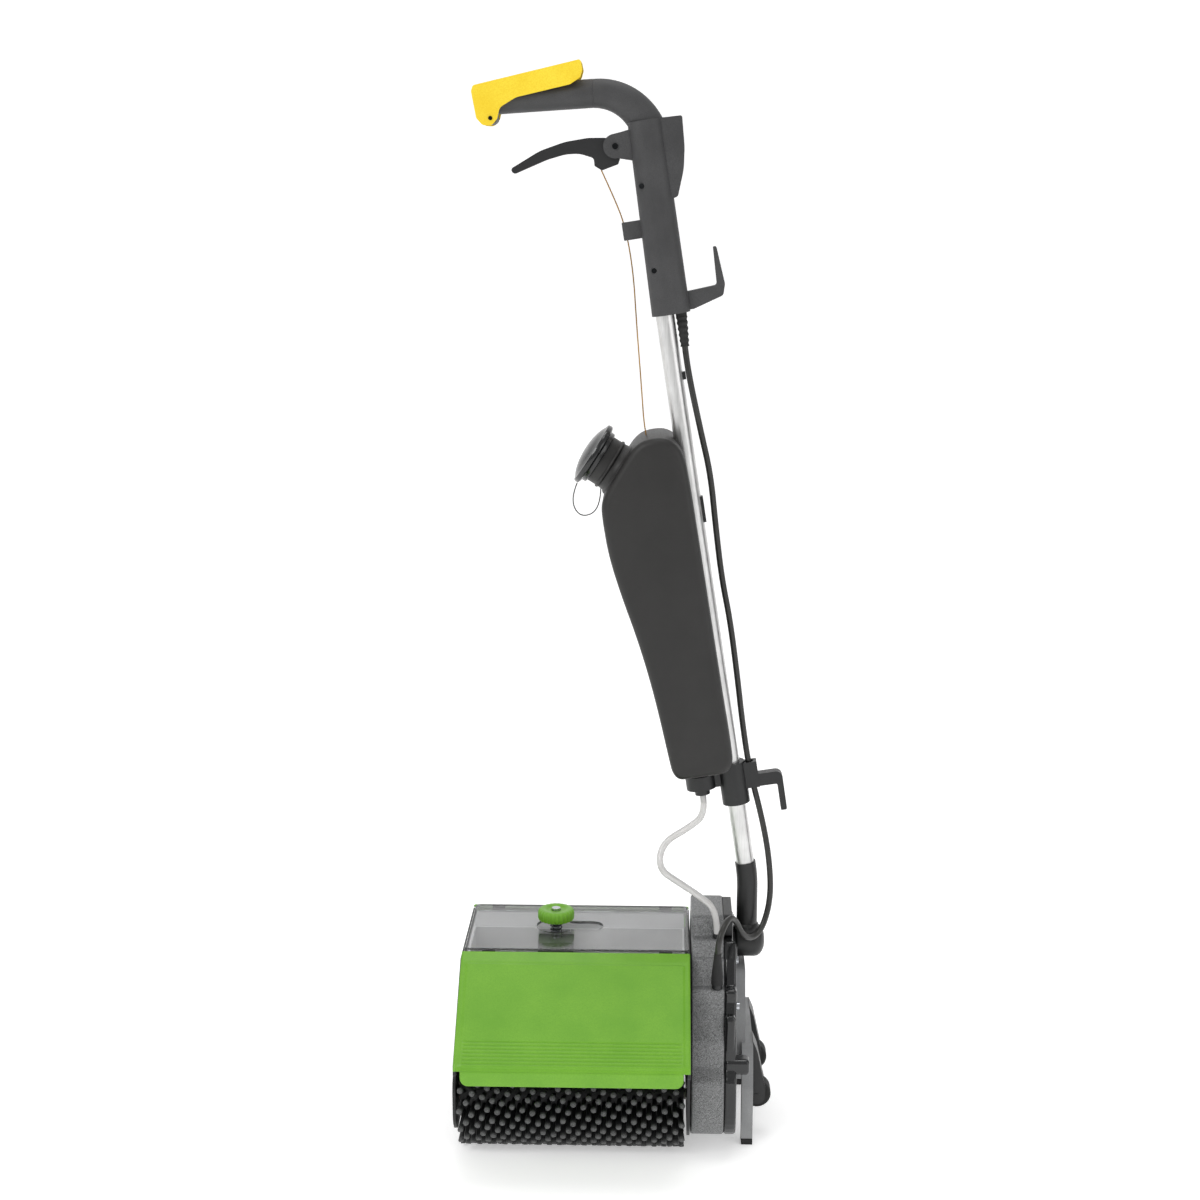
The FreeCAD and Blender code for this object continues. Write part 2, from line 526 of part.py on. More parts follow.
def scalloped_knob():
    """Round knob with a scalloped rim, a top recess for the screw and a blind hole for the stud."""
    body = doc.addObject("PartDesign::Body", "KnobBody")
    plane = [face for face in body.Origin.OriginFeatures if face.Role == "XY_Plane"][0]

    def circle_sketch(name, radius, offset, height, word):
        sketch = body.newObject("Sketcher::SketchObject", name)
        sketch.AttachmentSupport = (plane, "")
        sketch.MapMode = "FlatFace"
        sketch.setExpression("AttachmentOffset.Base.z", bound(height))
        sketch.addGeometry(Part.Circle(Vec(offset, 0, 0), UP, radius), False)
        sketch.addConstraint(Sketcher.Constraint("Radius", 0, radius))
        sketch.renameConstraint(0, word)
        return sketch

    disc = circle_sketch("KnobDisc", S.knob_radius, 0, "0", "rim")
    disc.setExpression("Constraints.rim", bound("knob_radius"))
    pad = body.newObject("PartDesign::Pad", "KnobPad")
    pad.Profile = disc
    pad.setExpression("Length", bound("knob_height"))
    groove = circle_sketch("KnobGroove", 1.7, S.knob_radius + 0.5, "knob_height", "groove")
    pocket = body.newObject("PartDesign::Pocket", "KnobScallop")
    pocket.Profile = groove
    pocket.setExpression("Length", bound("knob_height - 2"))
    doc.recompute()
    pattern = body.newObject("PartDesign::PolarPattern", "KnobScallops")
    pattern.Originals = [pocket]
    axis = [line for line in body.Origin.OriginFeatures if line.Role == "Z_Axis"][0]
    pattern.Axis = (axis, [""])
    pattern.Angle = 360
    pattern.Occurrences = 24
    body.Tip = pattern
    doc.recompute()
    recess = circle_sketch("KnobRecess", 7, 0, "knob_height", "recess")
    hollow = body.newObject("PartDesign::Pocket", "KnobTop")
    hollow.Profile = recess
    hollow.Length = 1.5
    body.Tip = hollow
    doc.recompute()
    return place(body, "keyhole_x", "keyhole_y", "knob_base")


knob = cut(scalloped_knob(), rod("stud_radius + run_gap", "knob_height - 3 + 1", "keyhole_x", "keyhole_y", "knob_base - 1"),
           rod(2.5, "knob_height + 2", "keyhole_x", "keyhole_y", "knob_base - 1"))
keep("adjusting_knob", knob)


def coil(radius, wire, turns, low_end, high_end, centre):
    """Compression spring about +Z: one wire wound at an even pitch with its ends just inside the seats."""
    mean = radius - wire / 2
    travel = high_end - low_end - wire - 0.1
    helix = Part.makeHelix(travel / turns, travel, mean)
    section = Part.Wire(Part.Circle(Vec(mean, 0, 0), Vec(0, 1, 0), wire / 2).toShape())
    wound = Part.Wire(helix.Edges).makePipeShell([section], True, True)
    wound.translate(Vec(centre[0], centre[1], low_end + wire / 2 + 0.05))
    return wound


keep("knob_spring", solid("knob_spring", coil(S.spring_radius, S.spring_wire, S.spring_coils,
                                              S.bracket_top, S.knob_base, (S.keyhole_x, S.keyhole_y))))

# ---------------------------------------------------------------- clear top cover
LID_LEFT = "(-frame_left + 0.5)"
LID_LONG = "(frame_left + brush_length / 2 + side_gap + 1)"
LID_LOW = "(plate_top + part_gap)"
lid_left = -S.frame_left + 0.5
lid_right = lid_left + S.frame_left + S.brush_length / 2 + S.side_gap + 1
lid_outline = [(lid_left, -S.lid_half, 3), (lid_right, -S.lid_half, 3), (lid_right, S.lid_half, 6), (lid_left, S.lid_half, 6)]
lid = extruded("LidShell", "XY", lid_outline, "head_top - " + LID_LOW, LID_LOW)
room = extruded("LidRoom", "XY", inset(lid_outline, S.lid_thick), "head_top - lid_thick - " + LID_LOW, LID_LOW)
keyhole = fuse(rod("keyhole_radius", 12, "keyhole_x", "keyhole_y", "head_top - 8"),
               rod("key_slot_radius", 12, "key_slot_end", "keyhole_y", "head_top - 8"),
               block("key_slot_end - keyhole_x", "2 * key_slot_radius", 12, "keyhole_x",
                     "keyhole_y - key_slot_radius", "head_top - 8"))
lid = fillet(cut(lid, room, keyhole), 1.2, lambda edge: edge.BoundBox.ZMin > S.head_top - 0.01
             and (edge.BoundBox.YMax < 0.1 - S.lid_half or edge.BoundBox.YMin > S.lid_half - 0.1))
keep("clear_top_cover", lid)
clips = [block(14, 2.4, 5, x, y, "head_top - 7") for x in (-95, 90) for y in ("-lid_half - 2.4", "lid_half")]
keep("top_cover_clips", group(*clips))


# ---------------------------------------------------------------- green front and rear covers
def ribbon(points, wall):
    """Closed outline of a bent sheet: the given line and the same line moved to its left by the wall."""
    lines = []
    for (u, v, _), (p, q, _) in zip(points, points[1:]):
        along = (Vec(p, q, 0) - Vec(u, v, 0)).normalize()
        lines.append((Vec(u, v, 0) + Vec(-along.y, along.x, 0) * wall, along))
    moved = [(lines[0][0].x, lines[0][0].y, 0)]
    for n in range(1, len(lines)):
        (p, a), (q, b) = lines[n - 1], lines[n]
        cross = a.x * b.y - a.y * b.x
        gap = q - p
        corner = p + a * ((gap.x * b.y - gap.y * b.x) / cross)
        radius = points[n][2] + (wall if cross < 0 else -wall)
        moved.append((corner.x, corner.y, max(radius, 0)))
    last = Vec(points[-1][0], points[-1][1], 0)
    normal = lines[-1][0] - Vec(points[-2][0], points[-2][1], 0)
    moved.append(((last + normal).x, (last + normal).y, 0))
    return points + moved[::-1]


COVER_LEFT = "(-frame_left - plate_thick + 1)"
COVER_LONG = "(frame_left + brush_length / 2 + side_gap + 2 * plate_thick - 1.4)"
sheet_line = [(-69, S.head_top - 1, 0), (-82, S.head_top - 5, 12), (-S.head_half_depth + 3, S.cover_bottom + 5, 14),
              (-S.head_half_depth, S.cover_bottom, 0)]
lip_line = [(-S.head_half_depth + 3.4, S.cover_bottom + 4.4, 0), (-S.head_half_depth, S.cover_bottom, 8),
            (-S.head_half_depth - 0.5, S.cover_bottom - S.lip_drop, 0)]


def green_cover(name, turned):
    panel = extruded(name.title() + "Panel", "YZ", ribbon(sheet_line, S.cover_wall), COVER_LONG, COVER_LEFT)
    lip = extruded(name.title() + "Lip", "YZ", ribbon(lip_line, S.cover_wall), COVER_LONG + " - 14", COVER_LEFT + " + 7")
    both = fuse(panel, lip)
    both = fillet(both, 9, lambda edge: abs(edge.BoundBox.ZMax - S.cover_bottom + S.lip_drop) < 0.6
                  and edge.BoundBox.XLength < 0.1)
    if not turned:
        return keep(name + "_cover", both)
    rear = doc.addObject("Part::Mirroring", "RearMirror")
    rear.Source = both
    rear.Normal = Vec(0, 1, 0)
    return keep(name + "_cover", rear)


green_cover("front", False)
green_cover("rear", True)

# ---------------------------------------------------------------- side stand and transport wheels
STAND = "(" + COVER_FACE + " + 2.5)"
OUTER = "(" + STAND + " + stand_thick + 6.5)"
upper_half = [(-S.stand_half_top, S.stand_top, 8), (-62, 92, 4)]
lower_half = [(-66, 106, 8), (-S.stand_half_foot, 62, 12), (-S.stand_half_foot, S.foot_height, 2),
              (-S.stand_half_foot + 17, S.foot_height, 2), (-S.stand_half_foot + 17, 84, 6)]
upper = extruded("StandUpper", "YZ", mirrored(upper_half), "stand_thick", STAND)
lower = extruded("StandLower", "YZ", mirrored(lower_half), "stand_thick + 2", STAND + " + 6")
feet_up = [rod(7, 3.5, COVER_FACE + " + 0.02", y, z, ALONG_X) for y, z in ((-26, 150), (26, 150), (-44, 108), (44, 108))]
window = extruded("StandWindow", "YZ", mirrored([(-14, 162, 5), (-34, 112, 5)]), "stand_thick + 20", STAND + " - 5")
keep("side_stand", cut(fuse(upper, lower, *feet_up), window))
foot_pads = [block("stand_thick + 2", 17, "foot_height", STAND + " + 6", y, 0)
             for y in ("-stand_half_foot", "stand_half_foot - 17")]
keep("stand_feet", group(*foot_pads))
wheel_arm_x = S.wheel_x
stand_face = cover_x + S.cover_width + 2.5 + S.stand_thick + 8
arm_outline = [(stand_face + 0.02, 108, 0), (stand_face + 0.02, 83, 0), (stand_face - 8, 72, 6),
               (S.wheel_x - 9, S.wheel_z - 9, 8), (S.wheel_x + 8, S.wheel_z - 9, 8), (S.wheel_x + 9, S.wheel_z + 8, 8),
               (stand_face + 5, 96, 5)]
arms = []
for side in (-1, 1):
    middle = side * S.wheel_y
    arm = extruded("Arm", "XZ", arm_outline, "wheel_width + 8", "%s - (wheel_width + 8) / 2" % -middle)
    pocket = block(60, "wheel_width + 1", 60, "wheel_x - 30", "%s - (wheel_width + 1) / 2" % middle, "wheel_z - 40")
    axle = rod(3, "wheel_width + 9", "wheel_x", "%s - (wheel_width + 9) / 2" % middle, "wheel_z", ALONG_Y)
    arms.append(fuse(cut(arm, pocket), axle))
keep("wheel_arms", group(*arms))
for side, name in ((-1, "front"), (1, "rear")):
    start = "%s - wheel_width / 2" % (side * S.wheel_y)
    disc = fillet(rod("wheel_radius", "wheel_width", "wheel_x", start, "wheel_z", ALONG_Y), 2.5,
                  lambda edge: edge.BoundBox.YLength < 0.01)
    keep(name + "_transport_wheel", cut(disc, rod("3 + run_gap", 40, "wheel_x", "%s - 5" % start, "wheel_z", ALONG_Y)))

# ---------------------------------------------------------------- handle: its own tilted frame, Z along the tube
HANDLE = FreeCAD.Placement(Vec(S.handle_x, 0, S.handle_bend_z), FreeCAD.Rotation(Vec(0, -1, 0), S.handle_lean))


def tilted(item):
    """Stand a sub-part that was drawn along the tube onto the machine."""
    item.Placement = HANDLE
    place(item, "handle_x", 0, "handle_bend_z")
    item.setExpression("Placement.Rotation.Angle", bound("handle_lean"))
    return item


def profile(name, points, half, offset=0):
    """A plate drawn in the X-Z plane, as deep to the front of its middle plane as to the rear."""
    return extruded(name, "XZ", points, "2 * (%s)" % half, "%s - (%s)" % (offset, half))


def cross_pin(radius, half, x, z):
    """A rod along Y whose middle is at y = 0."""
    return rod(radius, "2 * (%s)" % half, x, "-(%s)" % half, z, ALONG_Y)


# yoke and tube
barrel = fuse(rod("yoke_radius", "yoke_width", "yoke_x", 0, "pivot_height", ALONG_X),
              rod(12, "yoke_width", COVER_FACE + " + run_gap", 0, "pivot_height", ALONG_X),
              rod(11.6, 5.5, "yoke_x + yoke_width - 0.5", 0, "pivot_height", ALONG_X),
              rod(8.5, 8, "yoke_x + yoke_width - 0.5", 0, "pivot_height", ALONG_X),
              rod("tube_radius + sleeve_wall + 2.5", 34, "handle_x", 0, "pivot_height"))
keep("yoke", cut(barrel, rod("pivot_radius", "yoke_width + 6.5", COVER_FACE + " - 0.5", 0, "pivot_height", ALONG_X),
                 rod("tube_radius + sleeve_wall", 40, "handle_x", 0, "pivot_height + 15")))


def bent(radius, low, high):
    """Round bar up the handle: upright from the yoke, then leaning along the handle's own axis."""
    foot, bend = Vec(S.handle_x, 0, low), Vec(S.handle_x, 0, S.handle_bend_z)
    top = HANDLE.multVec(Vec(0, 0, high))
    along = (top - bend).normalize()
    reach = 12
    sag = reach * math.tan(math.radians(S.handle_lean) / 4)
    side = (along - UP).normalize()
    middle = bend + side * sag
    edges = [Part.makeLine(foot, bend - UP * reach),
             Part.Arc(bend - UP * reach, middle, bend + along * reach).toShape(),
             Part.makeLine(bend + along * reach, top)]
    circle = Part.Wire(Part.Circle(foot, UP, radius).toShape())
    return Part.Wire(edges).makePipeShell([circle], True, False)


tube_foot = S.pivot_height + 16
sleeve_top = 17
keep("handle_tube", solid("handle_tube", bent(S.tube_radius, tube_foot, S.tube_top).cut(
    bent(S.tube_radius - S.tube_wall, tube_foot, S.tube_top))))
keep("lower_sleeve", solid("lower_sleeve", bent(S.tube_radius + S.sleeve_wall - 0.01, tube_foot, sleeve_top).cut(
    bent(S.tube_radius + 0.01, tube_foot, sleeve_top))))

# clamp on the tube, which holds the tank's outlet, the motor lead and the lower cable hook
RING = 16
clamp = fuse(rod("clamp_radius", "clamp_high - clamp_low", 0, 0, "clamp_low"),
             block("-outlet_x", 12, 15, "outlet_x", -6, 105),
             rod(RING, 15, "outlet_x", 0, 105),
             block(17, 14, 28, 10, -7, 99),
             profile("LowerHook", [(26, 99.5, 0), (45.5, 99.5, 2), (45.5, 70, 1), (52, 70, 2), (52, 113, 7), (26, 113, 0)], 6))
keep("tube_clamp", tilted(cut(clamp, rod("tube_radius + 0.01", 200, 0, 0, 0), rod(9.05, 30, "outlet_x", 0, 100),
                              rod("lead_radius + 1.7", 40, 19.2, 0, 95))))
outlet = fuse(rod(8, 6.9, "outlet_x", 0, 98), rod(6, 12, "outlet_x", 0, 98), rod("hose_bore - 0.05", 12, "outlet_x", 0, 88))
keep("outlet_fitting", tilted(cut(outlet, rod(1.2, 40, "outlet_x", 0, 80))))

# solution tank with its outlet and filler neck
tank_outline = [
    (3.5, S.tank_low, 12), (1, 389, 400), (0, 462, 22), (-14, 483, 22), (-42, 485, 14), (-90, 430, 12),
    (-90.5, 372, 70), (-76, 289, 80), (-68, 228, 60), (-64, 181, 80), (-61, S.tank_low + 0.5, 12)]
NECK_TURN = FreeCAD.Rotation(Vec(0, -1, 0), 48.65)
neck_axis = NECK_TURN.multVec(UP)
neck_foot = Vec(-69.7, 0, 453.2)


def on_neck(radius, start, finish):
    """A rod about the filler neck's axis between two distances from the tank's shoulder."""
    spot = neck_foot + neck_axis * start
    return rod(radius, finish - start, spot.x, spot.y, spot.z, NECK_TURN)


def side_edges(half):
    return lambda edge: abs(edge.BoundBox.YMin) > half - 0.1 and edge.BoundBox.YLength < 0.1


outer = fillet(profile("TankOuter", tank_outline, "tank_half_depth"), 9, side_edges(S.tank_half_depth))
inner = fillet(profile("TankInner", inset(tank_outline, S.tank_wall), "tank_half_depth - tank_wall"), 7,
               side_edges(S.tank_half_depth - S.tank_wall))
inner = cut(inner, rod("tube_radius + 0.8 + tank_wall", 500, 0, 0, 100))
body = fuse(outer, on_neck("neck_radius", -8, 24), rod("outlet_radius", 10, "outlet_x", 0, "tank_low - 8.9"),
            rod(9, 20, "outlet_x", 0, "tank_low - 21"))
keep("solution_tank", tilted(cut(body, inner, on_neck("neck_bore", -8, 30), rod("tube_radius + 0.8", 500, 0, 0, 100),
                                 rod(6.05, 60, "outlet_x", 0, 95), rod(1.6, 30, -38.3, 0, 470))))
keep("valve_rod", tilted(fuse(rod(1.5, "465 - tank_low", "outlet_x", 0, "tank_low + 3.5"),
                              rod(8, 4, "outlet_x", 0, "tank_low + tank_wall + 0.4"))))
cap = fuse(on_neck("cap_radius", 28.4, 33.6), on_neck("neck_radius + 2.5", 24.05, 28.6),
           on_neck("cap_radius - 7", 33.4, 38), on_neck("cap_radius - 16", 37.8, 41),
           on_neck("neck_bore - run_gap", 14, 24.2))
keep("filler_cap", tilted(cut(cap, on_neck("neck_bore - 3", 13, 24.5))))

# housing: a body, a switch pod and a bend that runs into the grip, split down the middle


def section(left, right, half, radius, z):
    """Rounded rectangle across the handle."""
    points = [(left, -half, radius), (right, -half, radius), (right, half, radius), (left, half, radius)]
    wire = Part.Wire([edge.toShape() for edge in corners(points)])
    wire.translate(Vec(0, 0, z))
    return wire


def housing_body(depth, low, high):
    """The tapering body between two heights, taken inwards by a depth."""
    def at(z):
        share = (z - 602.5) / (794 - 602.5)
        return section(-13 + 4 * share + depth, 26 + depth * -1, S.housing_half - depth, 15 - depth, z)
    return Part.makeLoft([at(low), at(high)], True)


grip_start, grip_end = Vec(-38, 0, 827.4), Vec(-140, 0, 836.4)
grip_along = (grip_end - grip_start).normalize()
GRIP_TURN = FreeCAD.Rotation(UP, grip_along)


def bend_pipe(radius_grip, radius_body):
    """Curved pipe from the grip's seam down into the body, widening on its way."""
    centre, swing = Vec(-42.9, 0, 772.5), 55
    def at(degrees):
        return centre + Vec(math.sin(math.radians(degrees)), 0, math.cos(math.radians(degrees))) * swing
    start, finish = at(5.1), at(70)
    arc = Part.Arc(start, at(37), finish).toShape()
    tangent = Vec(math.cos(math.radians(70)), 0, -math.sin(math.radians(70)))
    tail = Part.makeLine(finish, finish + tangent * 9)
    first = Part.Wire(Part.Circle(start, grip_along, radius_grip).toShape())
    last = Part.Wire(Part.Circle(finish + tangent * 9, tangent, radius_body).toShape())
    return Part.Wire([arc, tail]).makePipeShell([first, last], True, False)


def along_grip(radius, start, finish):
    """A rod on the grip's axis between two distances from the seam."""
    spot = grip_start + grip_along * start
    return Part.makeCylinder(radius, finish - start, spot, grip_along)


wall = S.housing_wall
lever_x, lever_z = -24.2, 773.7
trigger_x, trigger_z = -141.2, 819
pod = [(20, 714, 0), (30, 716, 4), (39.6, 741.5, 60), (43.5, 762.5, 60), (45.4, 793, 2), (20, 794, 0)]
pod_room = [(16, 722, 0), (28, 722, 2), (36, 743, 40), (40, 764, 40), (41.6, 790, 2), (16, 790, 0)]
hook = [(24, 604, 0), (30, 604, 2), (60.9, 613, 4), (64.2, 624, 5), (60.8, 662, 1.5), (57.4, 662, 1), (56, 624, 3), (24, 622, 0)]
bracket = [(-5, 756, 0), (-5, 788, 0), (-16, 786.5, 4), (-26, 785.5, 3), (-30, 773, 3), (-24, 762, 5)]
outside = fuse(
    solid("HousingBody", housing_body(0, 602.5, 794)), solid("HousingBend", bend_pipe(S.grip_radius, 17.6)),
    profile("Pod", pod, 13), profile("UpperHook", hook, 6),
    profile("GuideTab", [(-29.5, 681, 1), (-29.5, 699, 1), (-8, 699, 0), (-8, 681, 0)], 3),
    profile("LeverBracket", bracket, 9.5), cross_pin(12, 9.5, lever_x, lever_z),
    solid("GripCore", along_grip(S.grip_bore - 0.05, -6, 106)),
    cross_pin(6.2, 15.5, trigger_x, trigger_z), block(12.5, 26, 28, -147.5, -13, 818))
inside = fuse(
    solid("LowRoom", housing_body(wall, 605.5, 628)), solid("HighRoom", housing_body(wall, 634, 791)),
    solid("BendRoom", bend_pipe(6, 14.6)), solid("CoreRoom", along_grip(6, -2, 95)),
    profile("PodRoom", pod_room, 10))
posts = [cross_pin(4, 18, -4, z) for z in (731.5, 648)]
housing = cut(fuse(cut(outside, inside), *posts),
              rod("tube_radius + 0.01", 62, 0, 0, 580), rod("lead_radius + 0.3", 60, 16.6, 0, 590),
              rod(2, 40, -26.1, 0, 670), profile("LeverSlot", [(-50, 740, 0), (-50, 789, 0), (-12.6, 789, 0), (-12.6, 740, 0)],
                                                  "lever_half + part_gap"),
              cross_pin("pin_radius", 30, lever_x, lever_z), cross_pin("trigger_pin", 30, trigger_x, trigger_z),
              *[cross_pin(1.55, 30, -4, z) for z in (731.5, 648)],
              *[rod(2.7, 10, -4, -26.95, z, ALONG_Y) for z in (731.5, 648)])
halves = {}
for name, start in (("front", -60), ("rear", 0)):
    piece = doc.addObject("Part::Common", "Half")
    piece.Base, piece.Tool = housing, block(400, 60, 400, -250, start, 560)
    halves[name] = piece
keep("housing_front_half", tilted(halves["front"]))
inlet = rod("inlet_radius", 20, 8, 10, 770, ALONG_Y)
keep("housing_rear_half", tilted(cut(halves["rear"], inlet)))
grip = along_grip(S.grip_radius, 0.2, 95.5).cut(along_grip(S.grip_bore, 0, 100))
keep("grip_sleeve", tilted(fuse(solid("grip", grip))))

# trigger over the grip and solution lever under it
trigger_outline = [
    (-153.5, 852.6, 4), (-155.8, 847, 4), (-155, 821, 4), (-150, 813.5, 5), (-141.2, 811.6, 6), (-134.6, 817.5, 4),
    (-130.6, 827.6, 8), (-113.3, 834.7, 20), (-58.6, 838.7, 10), (-47.8, 843.8, 4), (-44.6, 851, 4), (-45.1, 860.8, 2)]
channel = [(-152.8, 800, 0), (-30, 800, 0), (-30, 859.4, 0), (-45, 858.3, 0), (-141.3, 851.6, 0), (-152.8, 848.5, 2)]
shell = profile("TriggerShell", trigger_outline[::-1], "trigger_half")
keep("trigger", tilted(cut(shell, profile("TriggerChannel", channel, "trigger_half - trigger_wall"),
                           cross_pin("trigger_pin + run_gap", 30, trigger_x, trigger_z))))
lever_outline = [
    (-127.5, 762.3, 3), (-93.5, 771, 60), (-74.8, 773.5, 40), (-60.9, 772.2, 30), (-47, 765.5, 4), (-47.5, 758, 1),
    (-41, 752.5, 2), (-24, 756, 2), (-20, 764, 3), (-24, 780, 6), (-33.2, 783.4, 20), (-49.8, 785.8, 30),
    (-73, 785.5, 60), (-99, 780.7, 60), (-131.5, 767.5, 3)]
lever = fuse(profile("LeverArm", lever_outline, "lever_half"), cross_pin(10.5, "lever_half", lever_x, lever_z))
keep("solution_lever", tilted(cut(lever, cross_pin("pin_radius + run_gap", 30, lever_x, lever_z),
                                  rod(1.1, 12, -41.6, 0, 750))))
pins = [cross_pin("pin_radius - 0.01", 11, lever_x, lever_z), cross_pin("trigger_pin - 0.01", 19.5, trigger_x, trigger_z)]
pins += [fuse(cross_pin(1.5, 17.02, -4, z), rod(2.6, 1.6, -4, -18.6, z, ALONG_Y)) for z in (731.5, 648)]
keep("handle_pins_and_screws", tilted(group(*pins)))
clips = [block("3", 8, 27, "tube_radius - 1", -4, 387), block("3.6", 6, 8, "tube_radius - 1", -3, 535)]
keep("tube_clips", tilted(group(*[cut(clip, rod("tube_radius + 0.01", 500, 0, 0, 200)) for clip in clips])))

# ---------------------------------------------------------------- lead, hose, pull wire and cap tether


def up_the_handle(*points):
    """Points given along the handle, moved into the machine's own frame."""
    return [tuple(HANDLE.multVec(Vec(*point))) for point in points]


lead_stops = up_the_handle(
    (16.6, 0, 614), (16.4, 0, 588), (14.6, -8, 548), (18.8, -8, 482), (22.6, -8, 436), (20.0, -8, 380),
    (18.6, -6, 326), (20.9, -6, 282), (20.0, -4, 222), (18.2, 0, 168), (18.4, 0, 119))
lead_stops += [
    (199, -2, 334), (207, -8, 290), (209, -8, 246), (198, -18, 212), (180, -41, 214), (166, -57, 251),
    (151.5, -93, 238), (S.gland_x, S.gland_y, 200), (S.gland_x, S.gland_y, 178)]
keep("motor_lead", solid("motor_lead", route(lead_stops, S.lead_radius, "motor_lead")), True)
hose_stops = up_the_handle((-34, 0, 97), (-34, 0, 75)) + [
    (120, -3, 324), (93, -7, 309), (88.5, -20, 284.5), (112, -30, 272), (131, -35, 261),
    (S.nipple_x, S.nipple_y, 246.5), (S.nipple_x, S.nipple_y, 221)]
hose = route(hose_stops, S.hose_radius, "solution_hose").cut(route(hose_stops, S.hose_bore, "its bore"))
keep("solution_hose", solid("solution_hose", hose), True)
wire_stops = up_the_handle(
    (-41.6, 0, 753), (-33.2, 0, 725), (-26.2, 0, 695), (-25, 0, 650), (-29.5, 0, 598), (-33.6, 0, 541),
    (-38.2, 0, 483), (-35, 0, 470.5))
keep("pull_wire", solid("pull_wire", route(wire_stops, S.wire_radius, "pull_wire")), True)
tether_stops = up_the_handle(
    (-114, 0, 446.5), (-124, 0, 430), (-116.5, 0, 409.5), (-95, 0, 415), (-91, 0, 437))
keep("cap_tether", solid("cap_tether", route(tether_stops, 0.6, "cap_tether")), True)

# ---------------------------------------------------------------- finish: check, centre and write
doc.recompute()
failed = [item.Label for item in doc.Objects if "Invalid" in item.State or "Error" in item.State]
assert not failed, failed
for label, item, _ in pieces:
    assert not item.Shape.isNull() and item.Shape.isValid(), label
os.makedirs("parts", exist_ok=True)

# every sub-part is moved along X so that the origin is the middle of the footprint
boxes = [item.Shape.optimalBoundingBox() for _, item, cord in pieces if not cord]
middle_x = (min(box.XMin for box in boxes) + max(box.XMax for box in boxes)) / 2
for label, item, _ in pieces:
    shape = item.Shape.copy()
    shape.translate(Vec(-middle_x, 0, 0))
    shape.exportStep("parts/%s.step" % label)
    box = shape.optimalBoundingBox(False)
    print("%-26s %2d solids %10.0f mm3  x %7.1f %7.1f  y %7.1f %7.1f  z %7.1f %7.1f" % (
        label, len(shape.Solids), shape.Volume, box.XMin, box.XMax, box.YMin, box.YMax, box.ZMin, box.ZMax))
print(len(pieces), "sub-parts, moved along X by", -middle_x)
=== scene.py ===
import math
import bmesh
import bpy
import numpy as np
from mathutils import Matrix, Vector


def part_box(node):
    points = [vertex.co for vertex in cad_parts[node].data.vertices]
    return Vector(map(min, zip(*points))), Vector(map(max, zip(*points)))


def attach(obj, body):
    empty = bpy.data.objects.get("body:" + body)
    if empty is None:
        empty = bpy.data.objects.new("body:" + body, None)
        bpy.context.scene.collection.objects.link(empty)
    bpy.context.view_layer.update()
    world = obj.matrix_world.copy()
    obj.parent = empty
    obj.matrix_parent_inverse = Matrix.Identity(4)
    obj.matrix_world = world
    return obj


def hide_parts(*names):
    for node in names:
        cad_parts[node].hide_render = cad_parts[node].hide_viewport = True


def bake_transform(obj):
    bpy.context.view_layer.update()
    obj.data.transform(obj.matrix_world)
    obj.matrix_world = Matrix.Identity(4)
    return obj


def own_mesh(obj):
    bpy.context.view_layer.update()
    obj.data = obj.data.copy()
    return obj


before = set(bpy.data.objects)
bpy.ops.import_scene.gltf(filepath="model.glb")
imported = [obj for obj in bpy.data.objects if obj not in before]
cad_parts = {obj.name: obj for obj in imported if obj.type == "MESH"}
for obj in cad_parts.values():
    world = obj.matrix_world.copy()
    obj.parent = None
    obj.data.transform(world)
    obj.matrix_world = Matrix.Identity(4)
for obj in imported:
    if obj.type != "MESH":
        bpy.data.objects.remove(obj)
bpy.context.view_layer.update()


# The two brushes: black nylon tufts stapled in spiral rows round a plastic tube, about 11.5 mm apart,
# turning on steel spindles. The tufts are round, stiff, and worn grey and furry at their tips.
def linear(colour):
    """sRGB hex to linear colour: c / 12.92 up to 0.04045, ((c + 0.055) / 1.055) ^ 2.4 above it."""
    share = np.array([int(colour[n:n + 2], 16) for n in (1, 3, 5)]) / 255
    value = np.where(share <= 0.04045, share / 12.92, ((share + 0.055) / 1.055) ** 2.4)
    return (*value.tolist(), 1.0)


def started(name, **sockets):
    """A new material and its shader, with uniform values on the shader's own sockets."""
    material = bpy.data.materials.new(name)
    material.use_nodes = True
    shader = material.node_tree.nodes["Principled BSDF"]
    for socket, value in sockets.items():
        shader.inputs[socket.replace("_", " ").title().replace("Ior", "IOR")].default_value = value
    return material, shader


def add(material, kind, links, **settings):
    """Adds one node with its settings; links gives its sockets a value or another node's output."""
    node = material.node_tree.nodes.new(kind)
    for name, value in settings.items():
        setattr(node, name, value)
    for socket, value in links.items():
        if isinstance(value, bpy.types.NodeSocket):
            material.node_tree.links.new(value, node.inputs[socket])
        else:
            node.inputs[socket].default_value = value
    return node.outputs


def wire(material, output, socket):
    material.node_tree.links.new(output, socket)


def mesh_piece(name, points, faces, material, body, sharp=0):
    """One mesh object on its body and with its material, smooth but for edges that turn by more than sharp degrees."""
    mesh = bpy.data.meshes.new(name)
    mesh.from_pydata(np.asarray(points).reshape(-1, 3).tolist(), [], [list(face) for face in faces])
    form = bmesh.new()
    form.from_mesh(mesh)
    bmesh.ops.recalc_face_normals(form, faces=form.faces)
    form.to_mesh(mesh)
    form.free()
    mesh.polygons.foreach_set("use_smooth", np.full(len(mesh.polygons), True))
    if sharp:
        mesh.set_sharp_from_angle(angle=math.radians(sharp))
    mesh.materials.append(material)
    piece = bpy.data.objects.new(name, mesh)
    bpy.context.scene.collection.objects.link(piece)
    if body:
        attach(piece, body)
    return piece


